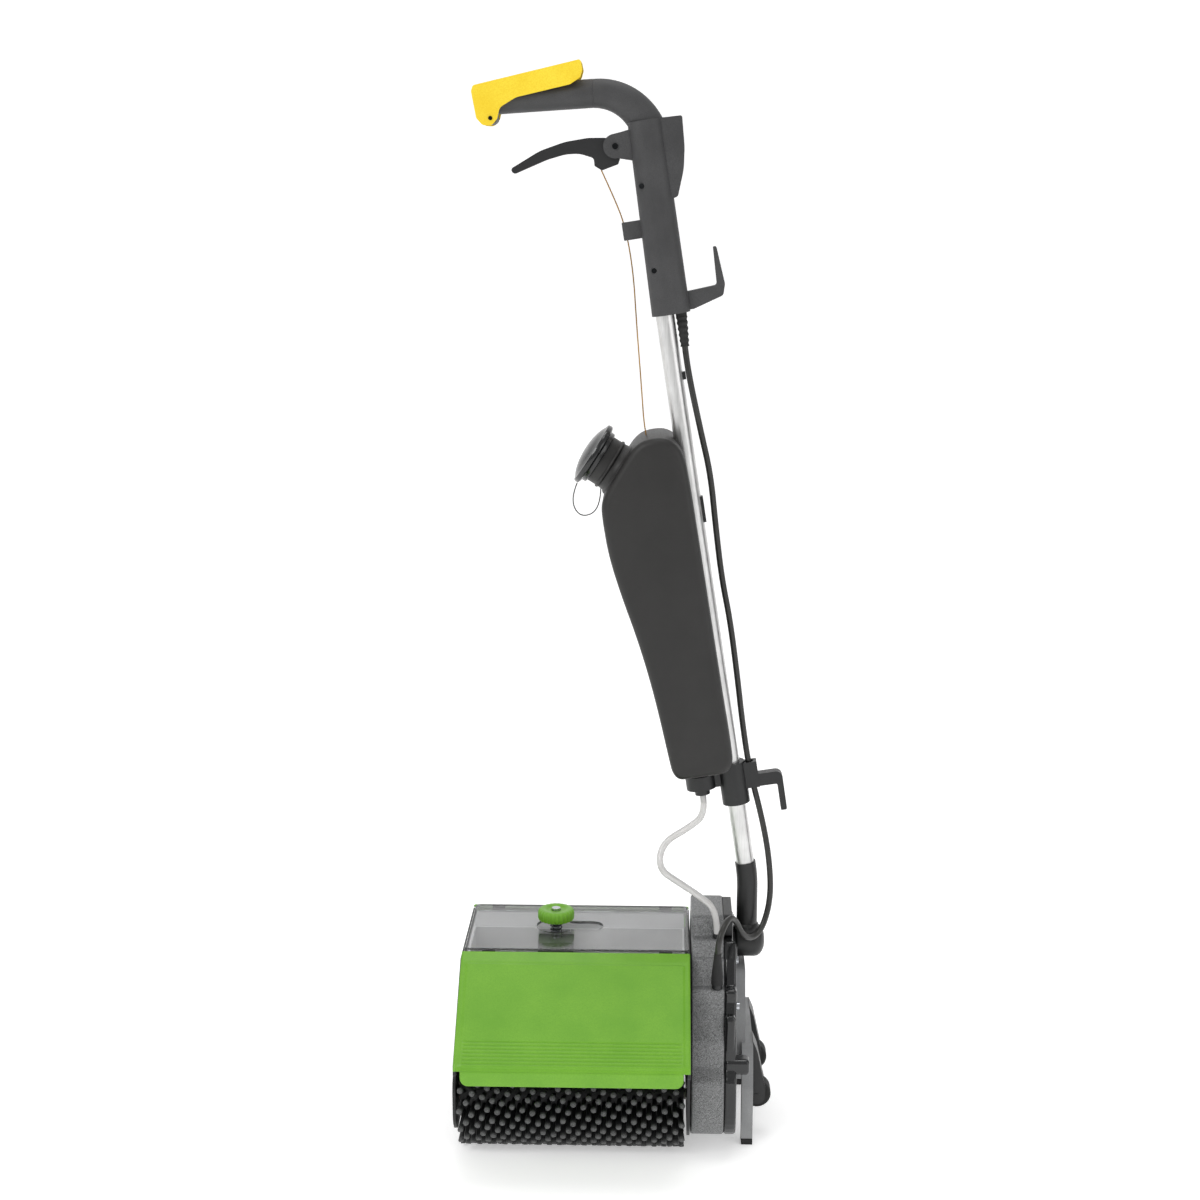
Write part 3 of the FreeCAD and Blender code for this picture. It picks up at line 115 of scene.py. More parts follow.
def grid_faces(rows, columns, wrap_rows=False, wrap_columns=False):
    """Four-cornered faces of a grid of points counted along its rows; a wrapped side joins its last to its first."""
    number = np.arange(rows * columns).reshape(rows, columns)
    if wrap_rows:
        number = np.vstack([number, number[:1]])
    if wrap_columns:
        number = np.hstack([number, number[:, :1]])
    corners = [number[:-1, :-1], number[:-1, 1:], number[1:, 1:], number[1:, :-1]]
    return np.stack(corners, -1).reshape(-1, 4)


def dress(material, *nodes):
    """Gives CAD nodes a material in every slot they have."""
    for node in nodes:
        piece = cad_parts[node]
        if not piece.data.materials:
            piece.data.materials.append(material)
        for place in piece.material_slots:
            place.material = material


def moulded(name, dark, light, roughness, grain, depth, ior=1.5, spread=0.06):
    """Moulded plastic: a faint cloudy change of colour, and a fine spark-eroded grain in its gloss and bump."""
    material, shader = started(name, ior=ior)
    place = add(material, "ShaderNodeTexCoord", {})["Object"]
    cloud = add(material, "ShaderNodeTexNoise", {"Vector": place, "Scale": 28.0, "Detail": 4.0})["Fac"]
    speck = add(material, "ShaderNodeTexNoise", {"Vector": place, "Scale": 1 / grain, "Detail": 2.0})["Fac"]
    blend = add(material, "ShaderNodeMath", {0: cloud, 1: speck}, operation="MULTIPLY")[0]
    share = add(material, "ShaderNodeMapRange", {"Value": blend, "From Min": 0.12, "From Max": 0.4})[0]
    colour = add(material, "ShaderNodeMix", {0: share, 6: linear(dark), 7: linear(light)}, data_type="RGBA")[2]
    gloss = add(material, "ShaderNodeMapRange", {
        "Value": speck, "From Min": 0.3, "From Max": 0.7, "To Min": roughness - spread, "To Max": roughness + spread})[0]
    relief = add(material, "ShaderNodeBump", {"Height": speck, "Strength": 0.6, "Distance": depth})[0]
    wire(material, colour, shader.inputs["Base Color"])
    wire(material, gloss, shader.inputs["Roughness"])
    wire(material, relief, shader.inputs["Normal"])
    return material


# Nylon bristle, cut level: nearly black down the side, dusty grey where the ends are abraded.
bristle, shader = started("nylon bristle, cut and abraded", ior=1.53, roughness=0.62)
place = add(bristle, "ShaderNodeTexCoord", {})
height = add(bristle, "ShaderNodeSeparateXYZ", {"Vector": place["UV"]})[1]
strands = add(bristle, "ShaderNodeMapping", {"Vector": place["UV"], "Scale": (26.0, 1.2, 1.0)})[0]
strand = add(bristle, "ShaderNodeTexNoise", {"Vector": strands, "Scale": 1.0, "Detail": 2.0})["Fac"]
fleck = add(bristle, "ShaderNodeTexNoise", {"Vector": place["Object"], "Scale": 900.0, "Detail": 3.0})["Fac"]
ragged = add(bristle, "ShaderNodeMath", {0: fleck, 1: 0.16, 2: height}, operation="MULTIPLY_ADD")[0]
worn = add(bristle, "ShaderNodeMapRange", {"Value": ragged, "From Min": 0.98, "From Max": 1.14})[0]
side = add(bristle, "ShaderNodeMix", {0: strand, 6: linear("#0B0C0C"), 7: linear("#2A2B2C")}, data_type="RGBA")[2]
tip = add(bristle, "ShaderNodeMix", {0: fleck, 6: linear("#2E2F2F"), 7: linear("#868787")}, data_type="RGBA")[2]
colour = add(bristle, "ShaderNodeMix", {0: worn, 6: side, 7: tip}, data_type="RGBA")[2]
lines = add(bristle, "ShaderNodeBump", {"Height": strand, "Strength": 0.8, "Distance": 0.0004})[0]
furry = add(bristle, "ShaderNodeBump", {"Height": fleck, "Strength": 0.7, "Distance": 0.0005, "Normal": lines})[0]
wire(bristle, colour, shader.inputs["Base Color"])
wire(bristle, furry, shader.inputs["Normal"])

SIDES_OF_TUFT = 8


def tufts(name, node, turn):
    """Tufts on a cylinder: tuft (i, j) stands at x = 10.45 i - 5.22 j mm and at (i + 3.04 j) of the 106.3 shares of a turn.

    A point of a tuft is axis + radial * height + (x axis * cos + tangent * sin) * girth, for eight angles and
    five heights, with the middle of the cut end as its last point.
    """
    low, high = (np.array(corner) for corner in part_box(node))
    middle = (low + high) / 2
    radius = (high[2] - low[2]) / 2
    pitch, half = 0.01045, (high[0] - low[0]) / 2 - 0.0034
    i, j = (part.ravel() for part in np.meshgrid(np.arange(-12, 28), np.arange(30), indexing="ij"))
    x = pitch * i - pitch / 2 * j + pitch * 0.25
    inside = np.abs(x) <= half
    i, j, x = i[inside], j[inside], x[inside]
    angle = turn * 2 * np.pi * (3.3 * i + 10.04 * j) / (15 * 3.3 + 30 * 10.04)
    random = np.random.default_rng(7)
    count = len(x)
    radial = np.stack([np.zeros(count), np.cos(angle), np.sin(angle)], -1)
    tangent = np.stack([np.zeros(count), -np.sin(angle), np.cos(angle)], -1)
    heights = np.array([0.0265, 0.040, 0.0495, 0.0536, radius - 0.0002])
    girths = np.array([0.0021, 0.0027, 0.0031, 0.0032, 0.0027])
    around = np.arange(SIDES_OF_TUFT) * 2 * np.pi / SIDES_OF_TUFT
    splay = random.uniform(0.92, 1.08, (count, 1, SIDES_OF_TUFT))
    drop = random.uniform(0, 0.0007, (count, 1, SIDES_OF_TUFT)) * (np.arange(5) == 4)[None, :, None]
    out = heights[None, :, None] - drop
    girth = girths[None, :, None] * splay
    lean = random.uniform(-0.0005, 0.0005, (count, 1, 1, 2)) * (heights / radius)[None, :, None, None] ** 3
    spread = np.sign(x) * 0.0032 * np.clip((np.abs(x) - 0.1) / (half - 0.1), 0, 1)
    along = girth * np.cos(around) + lean[..., 0] + (x[:, None] + spread[:, None] * (heights / radius) ** 3)[..., None]
    across = girth * np.sin(around) + lean[..., 1]
    rings = radial[:, None, None] * out[..., None] + tangent[:, None, None] * across[..., None]
    rings = rings + np.array([1.0, 0, 0]) * along[..., None]
    tops = rings[:, -1].mean(1, keepdims=True) + radial[:, None] * 0.0003
    points = np.concatenate([rings.reshape(count, -1, 3), tops], 1) + middle
    wall = grid_faces(5, SIDES_OF_TUFT, wrap_columns=True)
    rim = 4 * SIDES_OF_TUFT + np.arange(SIDES_OF_TUFT)
    lid = np.stack([rim, np.roll(rim, -1), np.full(SIDES_OF_TUFT, 5 * SIDES_OF_TUFT)], -1)
    size = 5 * SIDES_OF_TUFT + 1
    step = np.arange(count)[:, None, None] * size
    faces = (wall + step).reshape(-1, 4).tolist() + (lid + step).reshape(-1, 3).tolist()
    piece = mesh_piece(name, points, faces, bristle, None)
    corners = np.zeros(len(piece.data.loops), int)
    piece.data.loops.foreach_get("vertex_index", corners)
    local = corners % size
    ring, spot = np.minimum(local // SIDES_OF_TUFT, 4), local % SIDES_OF_TUFT
    rise = np.where(local == size - 1, 1.02, (heights / radius)[ring])
    chart = np.stack([spot / SIDES_OF_TUFT + corners // size, rise], -1)
    piece.data.uv_layers.new(name="Tuft").data.foreach_set("uv", chart.ravel())
    return piece


for place_name, way in (("front", 1), ("rear", -1)):
    tufted = tufts(place_name + "_brush_tufts", place_name + "_bristles", way)
    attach(tufted, place_name + "_brush")
    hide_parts(place_name + "_bristles")

core_plastic = moulded("polypropylene tube, extruded black", "#131415", "#1D1E1F", 0.45, 0.0012, 0.0001)
dress(core_plastic, "front_brush_core", "rear_brush_core")


# The gear train in the casing: acetal gears turned by the motor's steel pinion, on ground steel pins.
acetal = moulded("acetal, moulded natural white", "#D8D6CC", "#EAE8DF", 0.34, 0.0015, 0.00008, ior=1.48)
dress(acetal, "front_brush_gear", "rear_brush_gear", "compound_idler_gear", "rear_idler_gear", "reduction_gear",
      "drum_gear")


def metal(name, dark, light, roughness, pitch, axis, depth=0.00003, spread=0.08):
    """Metal worked in one direction: fine lines drawn out along an axis, in its colour, gloss and bump."""
    material, shader = started(name, metallic=1.0)
    place = add(material, "ShaderNodeTexCoord", {})["Object"]
    stretch = [1 / pitch] * 3
    stretch[axis] = 1 / pitch / 60
    drawn = add(material, "ShaderNodeMapping", {"Vector": place, "Scale": stretch})[0]
    line = add(material, "ShaderNodeTexNoise", {"Vector": drawn, "Scale": 1.0, "Detail": 3.0})["Fac"]
    cloud = add(material, "ShaderNodeTexNoise", {"Vector": place, "Scale": 30.0, "Detail": 3.0})["Fac"]
    both = add(material, "ShaderNodeMath", {0: line, 1: cloud}, operation="MULTIPLY")[0]
    share = add(material, "ShaderNodeMapRange", {"Value": both, "From Min": 0.12, "From Max": 0.4})[0]
    colour = add(material, "ShaderNodeMix", {0: share, 6: linear(dark), 7: linear(light)}, data_type="RGBA")[2]
    gloss = add(material, "ShaderNodeMapRange", {
        "Value": line, "From Min": 0.3, "From Max": 0.7, "To Min": roughness - spread, "To Max": roughness + spread})[0]
    relief = add(material, "ShaderNodeBump", {"Height": line, "Strength": 0.5, "Distance": depth})[0]
    wire(material, colour, shader.inputs["Base Color"])
    wire(material, gloss, shader.inputs["Roughness"])
    wire(material, relief, shader.inputs["Normal"])
    return material


ground_steel = metal("carbon steel, ground bright", "#8E9092", "#B9BBBD", 0.3, 0.0006, 0)
dress(ground_steel, "gear_pins", "motor_rotor", "pivot_shaft", "tie_rods")
bronze = metal("bronze, sintered and pressed", "#8A6A3A", "#B08A4E", 0.42, 0.0010, 0)
dress(bronze, "shaft_bushes")


# The gearbox casing: cast aluminium under grey hammer-finish enamel, whose silvery film dries into
# small dimples with darker veins between them. Its top cap and inlets are moulded plastic.
hammered, shader = started("hammer-finish enamel, sprayed", ior=1.5, metallic=0.35)
place = add(hammered, "ShaderNodeTexCoord", {})["Object"]
sway = add(hammered, "ShaderNodeTexNoise", {"Vector": place, "Scale": 300.0, "Detail": 1.0})["Color"]
swayed = add(hammered, "ShaderNodeVectorMath", {0: sway, 1: (0.002, 0.002, 0.002), 2: place},
             operation="MULTIPLY_ADD")[0]
dimple = add(hammered, "ShaderNodeTexVoronoi", {"Vector": swayed, "Scale": 1000.0},
             feature="DISTANCE_TO_EDGE")["Distance"]
basin = add(hammered, "ShaderNodeMapRange", {"Value": dimple, "From Min": 0.02, "From Max": 0.36})[0]
patch = add(hammered, "ShaderNodeTexNoise", {"Vector": place, "Scale": 520.0, "Detail": 3.0})["Fac"]
toned = add(hammered, "ShaderNodeMath", {0: basin, 1: patch}, operation="MULTIPLY")[0]
share = add(hammered, "ShaderNodeMapRange", {"Value": toned, "From Min": 0.0, "From Max": 0.34})[0]
colour = add(hammered, "ShaderNodeMix", {0: share, 6: linear("#4E4F50"), 7: linear("#A2A3A3")},
             data_type="RGBA")[2]
gloss = add(hammered, "ShaderNodeMapRange", {
    "Value": patch, "From Min": 0.3, "From Max": 0.7, "To Min": 0.34, "To Max": 0.5})[0]
relief = add(hammered, "ShaderNodeBump", {"Height": basin, "Strength": 0.35, "Distance": 0.0003})[0]
wire(hammered, colour, shader.inputs["Base Color"])
wire(hammered, gloss, shader.inputs["Roughness"])
wire(hammered, relief, shader.inputs["Normal"])


def bent_line(points, radii, steps):
    """Points along a line with rounded corners, and the inward normals there, spaced by length.

    Each corner's arc starts r tan(turn / 2) before it, and the straight runs are divided evenly.
    """
    stops, turns = [points[0]], [0.0]
    for before, corner, after, radius in zip(points, points[1:], points[2:], radii):
        into, out = corner - before, after - corner
        into, out = into / np.linalg.norm(into), out / np.linalg.norm(out)
        turn = math.atan2(into[0] * out[1] - into[1] * out[0], into @ out)
        reach = abs(radius * math.tan(turn / 2))
        share = np.linspace(0, 1, 9)
        left = np.array([-into[1], into[0]]) * np.sign(turn)
        swing = share * abs(turn)
        start = corner - into * reach
        arc = start + radius * (np.outer(np.sin(swing), into) + np.outer(1 - np.cos(swing), left))
        stops += list(arc)
    stops = np.array(stops + [points[-1]])
    length = np.concatenate([[0], np.cumsum(np.linalg.norm(np.diff(stops, axis=0), axis=1))])
    travel = np.linspace(0, length[-1], steps)
    line = np.stack([np.interp(travel, length, stops[:, n]) for n in (0, 1)], -1)
    slope = np.gradient(line, travel, axis=0)
    slope /= np.linalg.norm(slope, axis=1, keepdims=True)
    return line, np.stack([-slope[:, 1], slope[:, 0]], -1), travel


def closed_outline(half, steps):
    """Outline symmetrical about its upright axis: half its points (y, z, corner radius), and their mirror images."""
    half = np.array(half, float)
    both = np.vstack([half, half[-2::-1] * (-1, 1, 1)])
    line, _, _ = bent_line(both[:, :2], both[1:-1, 2], steps)
    return line[:-1]


def slab(outline, low, high, rounding):
    """Closed block over an outline, its two faces rounded by a quarter circle: points (u, v, depth) and faces.

    The outline is moved inwards by r (1 - sin a) at the depth r (1 - cos a) from each face, for a from 0 to 90 degrees.
    """
    ahead = np.roll(outline, -1, 0) - np.roll(outline, 1, 0)
    inward = np.stack([-ahead[:, 1], ahead[:, 0]], -1) / np.linalg.norm(ahead, axis=1, keepdims=True)
    area = (outline[:, 0] * np.roll(outline[:, 1], -1) - outline[:, 1] * np.roll(outline[:, 0], -1)).sum()
    turn = np.radians(np.linspace(0, 90, 7))
    inset, depth = rounding * (1 - np.sin(turn)), rounding * (1 - np.cos(turn))
    inset = np.concatenate([inset, inset[::-1]])
    depth = np.concatenate([low + depth, high - depth[::-1]])
    flat = outline + inward * np.sign(area) * inset[:, None, None]
    points = np.concatenate([flat, np.broadcast_to(depth[:, None, None], flat.shape[:2] + (1,))], -1)
    count = len(outline)
    faces = grid_faces(len(depth), count, wrap_columns=True).tolist()
    lids = [list(range(count)), list(range((len(depth) - 1) * count, len(depth) * count))]
    return points.reshape(-1, 3), faces + lids


def joined(*shells):
    """Several closed shells as one list of points and of faces."""
    start = np.cumsum([0] + [len(points) for points, _ in shells])
    faces = [[corner + first for corner in face] for (_, shell), first in zip(shells, start) for face in shell]
    return np.concatenate([points for points, _ in shells]), faces


SHIFT = -50.69821942993833


def in_metres(*groups):
    """Millimetres of the head's own drawing to the row frame: moved along X, then divided by 1000."""
    return (np.concatenate(groups) + (SHIFT, 0, 0)) / 1000


casing_half = [
    (0, 14, 0), (-116, 14, 40.8), (-116, 88, 10), (-106, 98, 8), (-104, 126, 16), (-94, 149, 1.5),
    (-88, 163, 3), (-88, 176, 4), (-76, 177, 2), (-62, 200, 3), (-57, 201, 2), (-46, 215, 4),
    (-36, 217, 2.5), (-36, 237, 7), (0, 237, 0)]
low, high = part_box("gearbox_casing")
points, faces = slab(closed_outline(casing_half, 620), low[0] * 1000, high[0] * 1000, 2.2)
casing = mesh_piece("gearbox_casing_body", points[:, [2, 0, 1]] / 1000, faces, hammered, "head",
                    sharp=60)
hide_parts("gearbox_casing")
satin_black = moulded("glass-filled nylon, moulded satin black", "#0F1011", "#1B1C1D", 0.42, 0.0010, 0.00012, ior=1.53)
dress(satin_black, "head_inlets", "casing_top_cap")


# The head's frame: folded and powder-coated steel plates at the two ends of the brushes, with a
# bearing plate at the free end, and a ribbed transport drum between the brushes.
black_powder = moulded("polyester powder coat on steel, black", "#121314", "#1E1F20", 0.45, 0.0007, 0.00012)
dress(black_powder, "right_end_plate", "left_end_plate", "brush_bearing_plate")
dress(core_plastic, "transport_drum")
motor_paint = moulded("epoxy paint on steel, dark grey", "#2B2C2E", "#3B3C3E", 0.5, 0.0010, 0.0001)
dress(motor_paint, "motor_housing")


# The recovery tray: light grey moulded tray that lifts out with its rubber scraper, the cover over
# the motor and the sprung adjusting knob, under a smoked clear cover.
tray_plastic = moulded("ABS, moulded light grey", "#C9CACA", "#DADBDB", 0.4, 0.0012, 0.0001, ior=1.52)
dress(tray_plastic, "recovery_tray")
rubber = moulded("natural rubber, moulded black", "#161616", "#242424", 0.75, 0.0010, 0.00015, ior=1.52)
dress(rubber, "scraper_blade")
cover_grey = moulded("ABS, moulded mid grey", "#A8A9AA", "#B8B9BA", 0.5, 0.0010, 0.0001, ior=1.52)
dress(cover_grey, "motor_cover")
dress(satin_black, "knob_bracket", "top_cover_clips")
zinc = metal("steel, bright zinc plated", "#A9ACB0", "#D3D6DA", 0.26, 0.0005, 2)
dress(zinc, "knob_stud")
spring_steel = metal("spring steel, coiled and blackened", "#2B2C2E", "#4A4C4F", 0.4, 0.0006, 0)
low, high = (np.array(corner) * 1000 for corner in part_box("knob_spring"))
wire_radius, coils, press = 0.8, 5, 6.0
stations, sides = 48 * coils, 12
turn = np.linspace(0, 2 * np.pi * coils, stations)[:, None]
ring = np.linspace(0, 2 * np.pi, sides, endpoint=False)
reach = (high[0] - low[0]) / 2 - wire_radius + wire_radius * np.cos(ring)
climb = np.linspace(low[2] + wire_radius, high[2] - wire_radius, stations)
rise = climb[:, None] + wire_radius * np.sin(ring)
centre = (low + high) / 2
points = np.stack([centre[0] + reach * np.cos(turn), centre[1] + reach * np.sin(turn), rise], -1).reshape(-1, 3)
ends = [list(range(sides)), list(range(len(points) - sides, len(points)))]
faces = grid_faces(stations, sides, wrap_columns=True).tolist() + ends
spring = mesh_piece("knob_spring_coil", points / 1000, faces, spring_steel, "recovery_tank", sharp=60)
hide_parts("knob_spring")
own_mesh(spring)
smoked, shader = started("polycarbonate, moulded clear smoke", ior=1.22, transmission_weight=0.97)
place = add(smoked, "ShaderNodeTexCoord", {})["Object"]
haze = add(smoked, "ShaderNodeTexNoise", {"Vector": place, "Scale": 60.0, "Detail": 4.0})["Fac"]
scuff = add(smoked, "ShaderNodeTexNoise", {"Vector": place, "Scale": 900.0, "Detail": 2.0})["Fac"]
tint = add(smoked, "ShaderNodeMix", {0: haze, 6: linear("#F8F8F9"), 7: linear("#FDFDFD")}, data_type="RGBA")[2]
gloss = add(smoked, "ShaderNodeMapRange", {
    "Value": scuff, "From Min": 0.35, "From Max": 0.75, "To Min": 0.02, "To Max": 0.09})[0]
wire(smoked, tint, shader.inputs["Base Color"])
wire(smoked, gloss, shader.inputs["Roughness"])
dress(smoked, "clear_top_cover")


# The green covers over the brushes: leaf-green ABS moulded in one sheet, hooked over the head at the
# top, with a raised middle panel, seven grip grooves across the foot and a narrower splash lip.
green = moulded("ABS, moulded leaf green", "#66A41B", "#75B128", 0.4, 0.0013, 0.00010, ior=1.52)


def scalloped(name, node, body):
    """Knob turned from a profile of (height, radius, share of the scallops' depth).

    Its rim is drawn in by 24 narrow scallops: radius - depth * ((1 + cos 24 a) / 2)^2.
    """
    low, high = (np.array(corner) * 1000 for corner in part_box(node))
    middle, tall, wide = (low + high) / 2, high[2] - low[2], (high[0] - low[0]) / 2
    profile = np.array([
        (0, 5.2, 0), (0, wide - 2.2, 0.5), (0.5, wide - 0.9, 0.9), (1.6, wide, 1), (tall - 3.2, wide, 1),
        (tall - 1.6, wide - 0.6, 1), (tall - 0.5, wide - 2.0, 0.7), (tall, wide - 4.2, 0), (tall - 0.2, 11.5, 0),
        (tall - 1.3, 10.6, 0), (tall - 1.4, 5.2, 0)])
    scallops, scallop_depth, sides = 24, 1.05, 288
    angle = np.linspace(0, 2 * np.pi, sides, endpoint=False)
    radius = profile[:, 1:2] - scallop_depth * profile[:, 2:] * ((1 + np.cos(scallops * angle)) / 2) ** 2
    height = np.broadcast_to(profile[:, :1] + low[2], radius.shape)
    points = np.stack([middle[0] + radius * np.cos(angle), middle[1] + radius * np.sin(angle), height], -1)
    rows = len(profile)
    faces = grid_faces(rows, sides, wrap_rows=True, wrap_columns=True)
    piece = mesh_piece(name, points.reshape(-1, 3) / 1000, faces, green, body, sharp=50)
    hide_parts(node)


scalloped("adjusting_knob_scalloped", "adjusting_knob", "knob")


def moulded_sheet(line, normal, x, relief, wall):
    """Closed shell over a line and widths: outer point = line - normal * relief, inner = line + normal * wall.

    line runs down the rows and x along the columns, and the outer skin's border is joined to the inner's.
    """
    rows, columns = x.shape
    skins = []
    for depth in (-relief, np.full_like(x, wall)):
        flat = line[:, None] + normal[:, None] * depth[..., None]
        skins.append(np.concatenate([x[..., None], flat], -1))
    faces = grid_faces(rows, columns)
    number = np.arange(rows * columns).reshape(rows, columns)
    border = np.concatenate([number[0], number[1:, -1], number[-1, -2::-1], number[-2:0:-1, 0]])
    onward = np.roll(border, -1)
    sides = np.stack([onward, border, border + rows * columns, onward + rows * columns], -1)
    points = np.concatenate([skin.reshape(-1, 3) for skin in skins])
    return points, np.concatenate([faces, faces[:, ::-1] + rows * columns, sides])


def step_up(value, edge, width):
    """0 before the edge and 1 after it, by 3 t^2 - 2 t^3 across the width."""
    share = np.clip((value - edge) / width + 0.5, 0, 1)
    return share * share * (3 - 2 * share)


def green_cover(side, body, node):
    low, high = (np.array(corner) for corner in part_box(node))
    top = max(low[2], high[2])
    skin, lip_wall = 0.0025, 0.0023
    outer = 0.176
    panel_line = np.array([(0.069, top - 0.001), (0.080, top - 0.0068), (outer - 0.003, 0.129), (outer, 0.124)])
    down, inward, travel = bent_line(panel_line, (0.012, 0.014), 260)
    across = np.linspace(low[0], high[0], 200)
    x = np.broadcast_to(across, (260, 200)).copy()
    s = travel[:, None]
    edge = np.minimum(x - low[0], high[0] - x)
    foot = travel[-1]
    raised = 0.0009 * step_up(edge, 0.0062, 0.0014) * step_up(s, 0.016, 0.002) * (1 - step_up(s, foot - 0.004, 0.002))
    groove = np.zeros_like(x)
    for number in range(7):
        where = foot - 0.0075 - 0.00405 * number
        groove = groove + np.exp(-((s - where) / 0.00062) ** 2)
    rim = -0.0010 * (1 - np.minimum(edge / 0.0012, 1)) ** 2
    relief = raised - 0.00085 * groove * step_up(edge, 0.0085, 0.001) + rim
    sign = -1 if side == "front" else 1
    facing = np.array([sign, 1.0])
    points, faces = moulded_sheet(down * facing, inward * facing * -1, x, relief, skin)
    lip_line = np.array([(outer - 0.0034, 0.1284), (outer, 0.124), (outer + 0.0005, 0.108)])
    down, inward, travel = bent_line(lip_line, (0.008,), 60)
    left, right = low[0] + 0.007, high[0] - 0.007
    fall = np.clip((travel - (travel[-1] - 0.009)) / 0.009, 0, 1)
    drawn_in = 0.009 * (1 - np.sqrt(np.maximum(1 - fall ** 2, 0)))
    share = np.linspace(0, 1, 120)
    x = (left + drawn_in)[:, None] * (1 - share) + (right - drawn_in)[:, None] * share
    rounding = -0.0008 * (1 - np.minimum((travel[-1] - travel) / 0.0012, 1))[:, None] ** 2
    lip, lip_faces = moulded_sheet(down * facing, inward * facing * -1, x, rounding + np.full_like(x, -0.0001), lip_wall)
    faces = np.concatenate([faces, lip_faces + len(points)])
    if side == "rear":
        faces = faces[:, ::-1]
    piece = mesh_piece(side + "_cover_sheet", np.concatenate([points, lip]), faces, green, body)
    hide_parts(node)
    return piece


green_cover("front", "front_guard", "front_cover")
green_cover("rear", "rear_guard", "rear_cover")


# The gear cover on the casing's outer side: glossy black moulding on three zinc-plated screws, with
# the folded steel side stand and two rubber-tyred wheels to pull the machine along on.
gloss_black = moulded("polycarbonate blend, moulded gloss black", "#0E0F10", "#1B1C1D", 0.2, 0.0020, 0.00006, ior=1.58)
low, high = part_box("gear_cover")
low, high = low[0] * 1000, high[0] * 1000
cover_half = casing_half[:10] + [(-46, 214, 4), (0, 214, 0)]
lobe = [(0, -9, 0), (-9.5, -9, 5), (-9.5, 9, 5), (0, 9, 0)]
lobes = []
for side in (-1, 1):
    for y, z, wide, tall, out in (
            (80.5, 167, 0.72, 1.0, 0.6), (100, 134, 0.62, 2.3, -1.5), (98, 99, 1.0, 0.95, 13.5),
            (80, 30, 0.8, 0.9, 0.4), (42, 203, 0.8, 0.9, 1.5)):
        round_edge = closed_outline(lobe, 60) * (wide, tall) + (side * y, z)
        lobes.append(slab(round_edge, low + 0.5, high + out, 3.6))
points, faces = joined(slab(closed_outline(cover_half, 520), low + 0.15, high, 3.0), *lobes)
cover = mesh_piece("gear_cover_moulding", points[:, [2, 0, 1]] / 1000, faces, gloss_black, "head",
                   sharp=60)
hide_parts("gear_cover")
dress(zinc, "gear_cover_screws")
powder = moulded("polyester powder coat on steel, light grey", "#8B8C8D", "#A4A5A6", 0.5, 0.0007, 0.00012)
dress(powder, "side_stand")
dress(rubber, "stand_feet", "front_transport_wheel", "rear_transport_wheel")
dress(satin_black, "wheel_arms")


# The handle: an anodised aluminium tube in a black cast yoke and sleeve, with a moulded clamp that
# carries the lower cable hook and the tank's outlet.
cast_black = moulded("die-cast aluminium, painted satin black", "#101111", "#1C1D1D", 0.4, 0.0011, 0.00012)
dress(cast_black, "lower_sleeve")


def turned(profile, foot, along, count):
    """Closed turning over a profile of (height, radius) from pole to pole.

    A point is foot + along * height + (side cos a + up sin a) * radius.
    """
    profile, along = np.array(profile, float), np.array(along, float)
    along = along / np.linalg.norm(along)
    side = np.cross(along, (0, 1.0, 0) if abs(along[1]) < 0.9 else (1.0, 0, 0))
    side = side / np.linalg.norm(side)
    up = np.cross(along, side)
    angle = np.linspace(0, 2 * np.pi, count, endpoint=False)
    ring = side * np.cos(angle)[:, None] + up * np.sin(angle)[:, None]
    rings = np.array(foot) + along * profile[1:-1, :1, None].transpose(0, 2, 1) + ring * profile[1:-1, 1, None, None]
    poles = np.array(foot) + along * profile[[0, -1], :1]
    rows = len(profile) - 2
    points = np.vstack([rings.reshape(-1, 3), poles])
    first, last = np.arange(count), (rows - 1) * count + np.arange(count)
    lids = np.vstack([
        np.stack([np.roll(first, -1), first, np.full(count, rows * count)], -1),
        np.stack([last, np.roll(last, -1), np.full(count, rows * count + 1)], -1)])
    return points, grid_faces(rows, count, wrap_columns=True).tolist() + lids.tolist()


barrel = [(-13.8, 0), (-13.8, 11.4), (-12.6, 12.2), (-12.2, 16.6), (-11, 17.8), (-9.5, 18), (8, 18), (11, 17.5), (14, 15.7), (16.6, 12.4),
          (18.4, 8), (19, 4), (19.2, 0)]
socket = [(2, 0), (2, 13.4), (14, 13.3), (16.5, 13), (18.6, 12.2), (19.8, 11.3), (20, 0)]
points, faces = joined(turned(barrel, (184, 0, 199), (1, 0, 0), 56), turned(socket, (184, 0, 199), (0, 0, 1), 48))
casting = mesh_piece("yoke_casting", in_metres(points), faces, cast_black, "handle", sharp=40)
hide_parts("yoke")
anodised = metal("aluminium, drawn and anodised silver", "#CBCBCA", "#E9E9E8", 0.36, 0.0007, 2)
dress(anodised, "handle_tube")
dress(satin_black, "tube_clamp", "outlet_fitting", "tube_clips")


# The solution tank: blow-moulded charcoal polyethylene with a screwed-on glossy filler cap, which a
# thin loop ties to the neck, and a valve rod that the pull wire lifts.
polyethylene = moulded("polyethylene, blow-moulded charcoal", "#1B1A19", "#232221", 0.5, 0.0016, 0.00012, ior=1.51)
handle_lean, handle_x, bend_height = 8.8, 184, 270


def up_handle(*points):
    """Points along the handle to the head's drawing: turned by the handle's lean, then moved to its foot."""
    lean = math.radians(handle_lean)
    x, y, z = np.array(points, float).T
    across, along = x * math.cos(lean) - z * math.sin(lean), x * math.sin(lean) + z * math.cos(lean)
    return np.stack([handle_x + across, y, bend_height + along], -1)


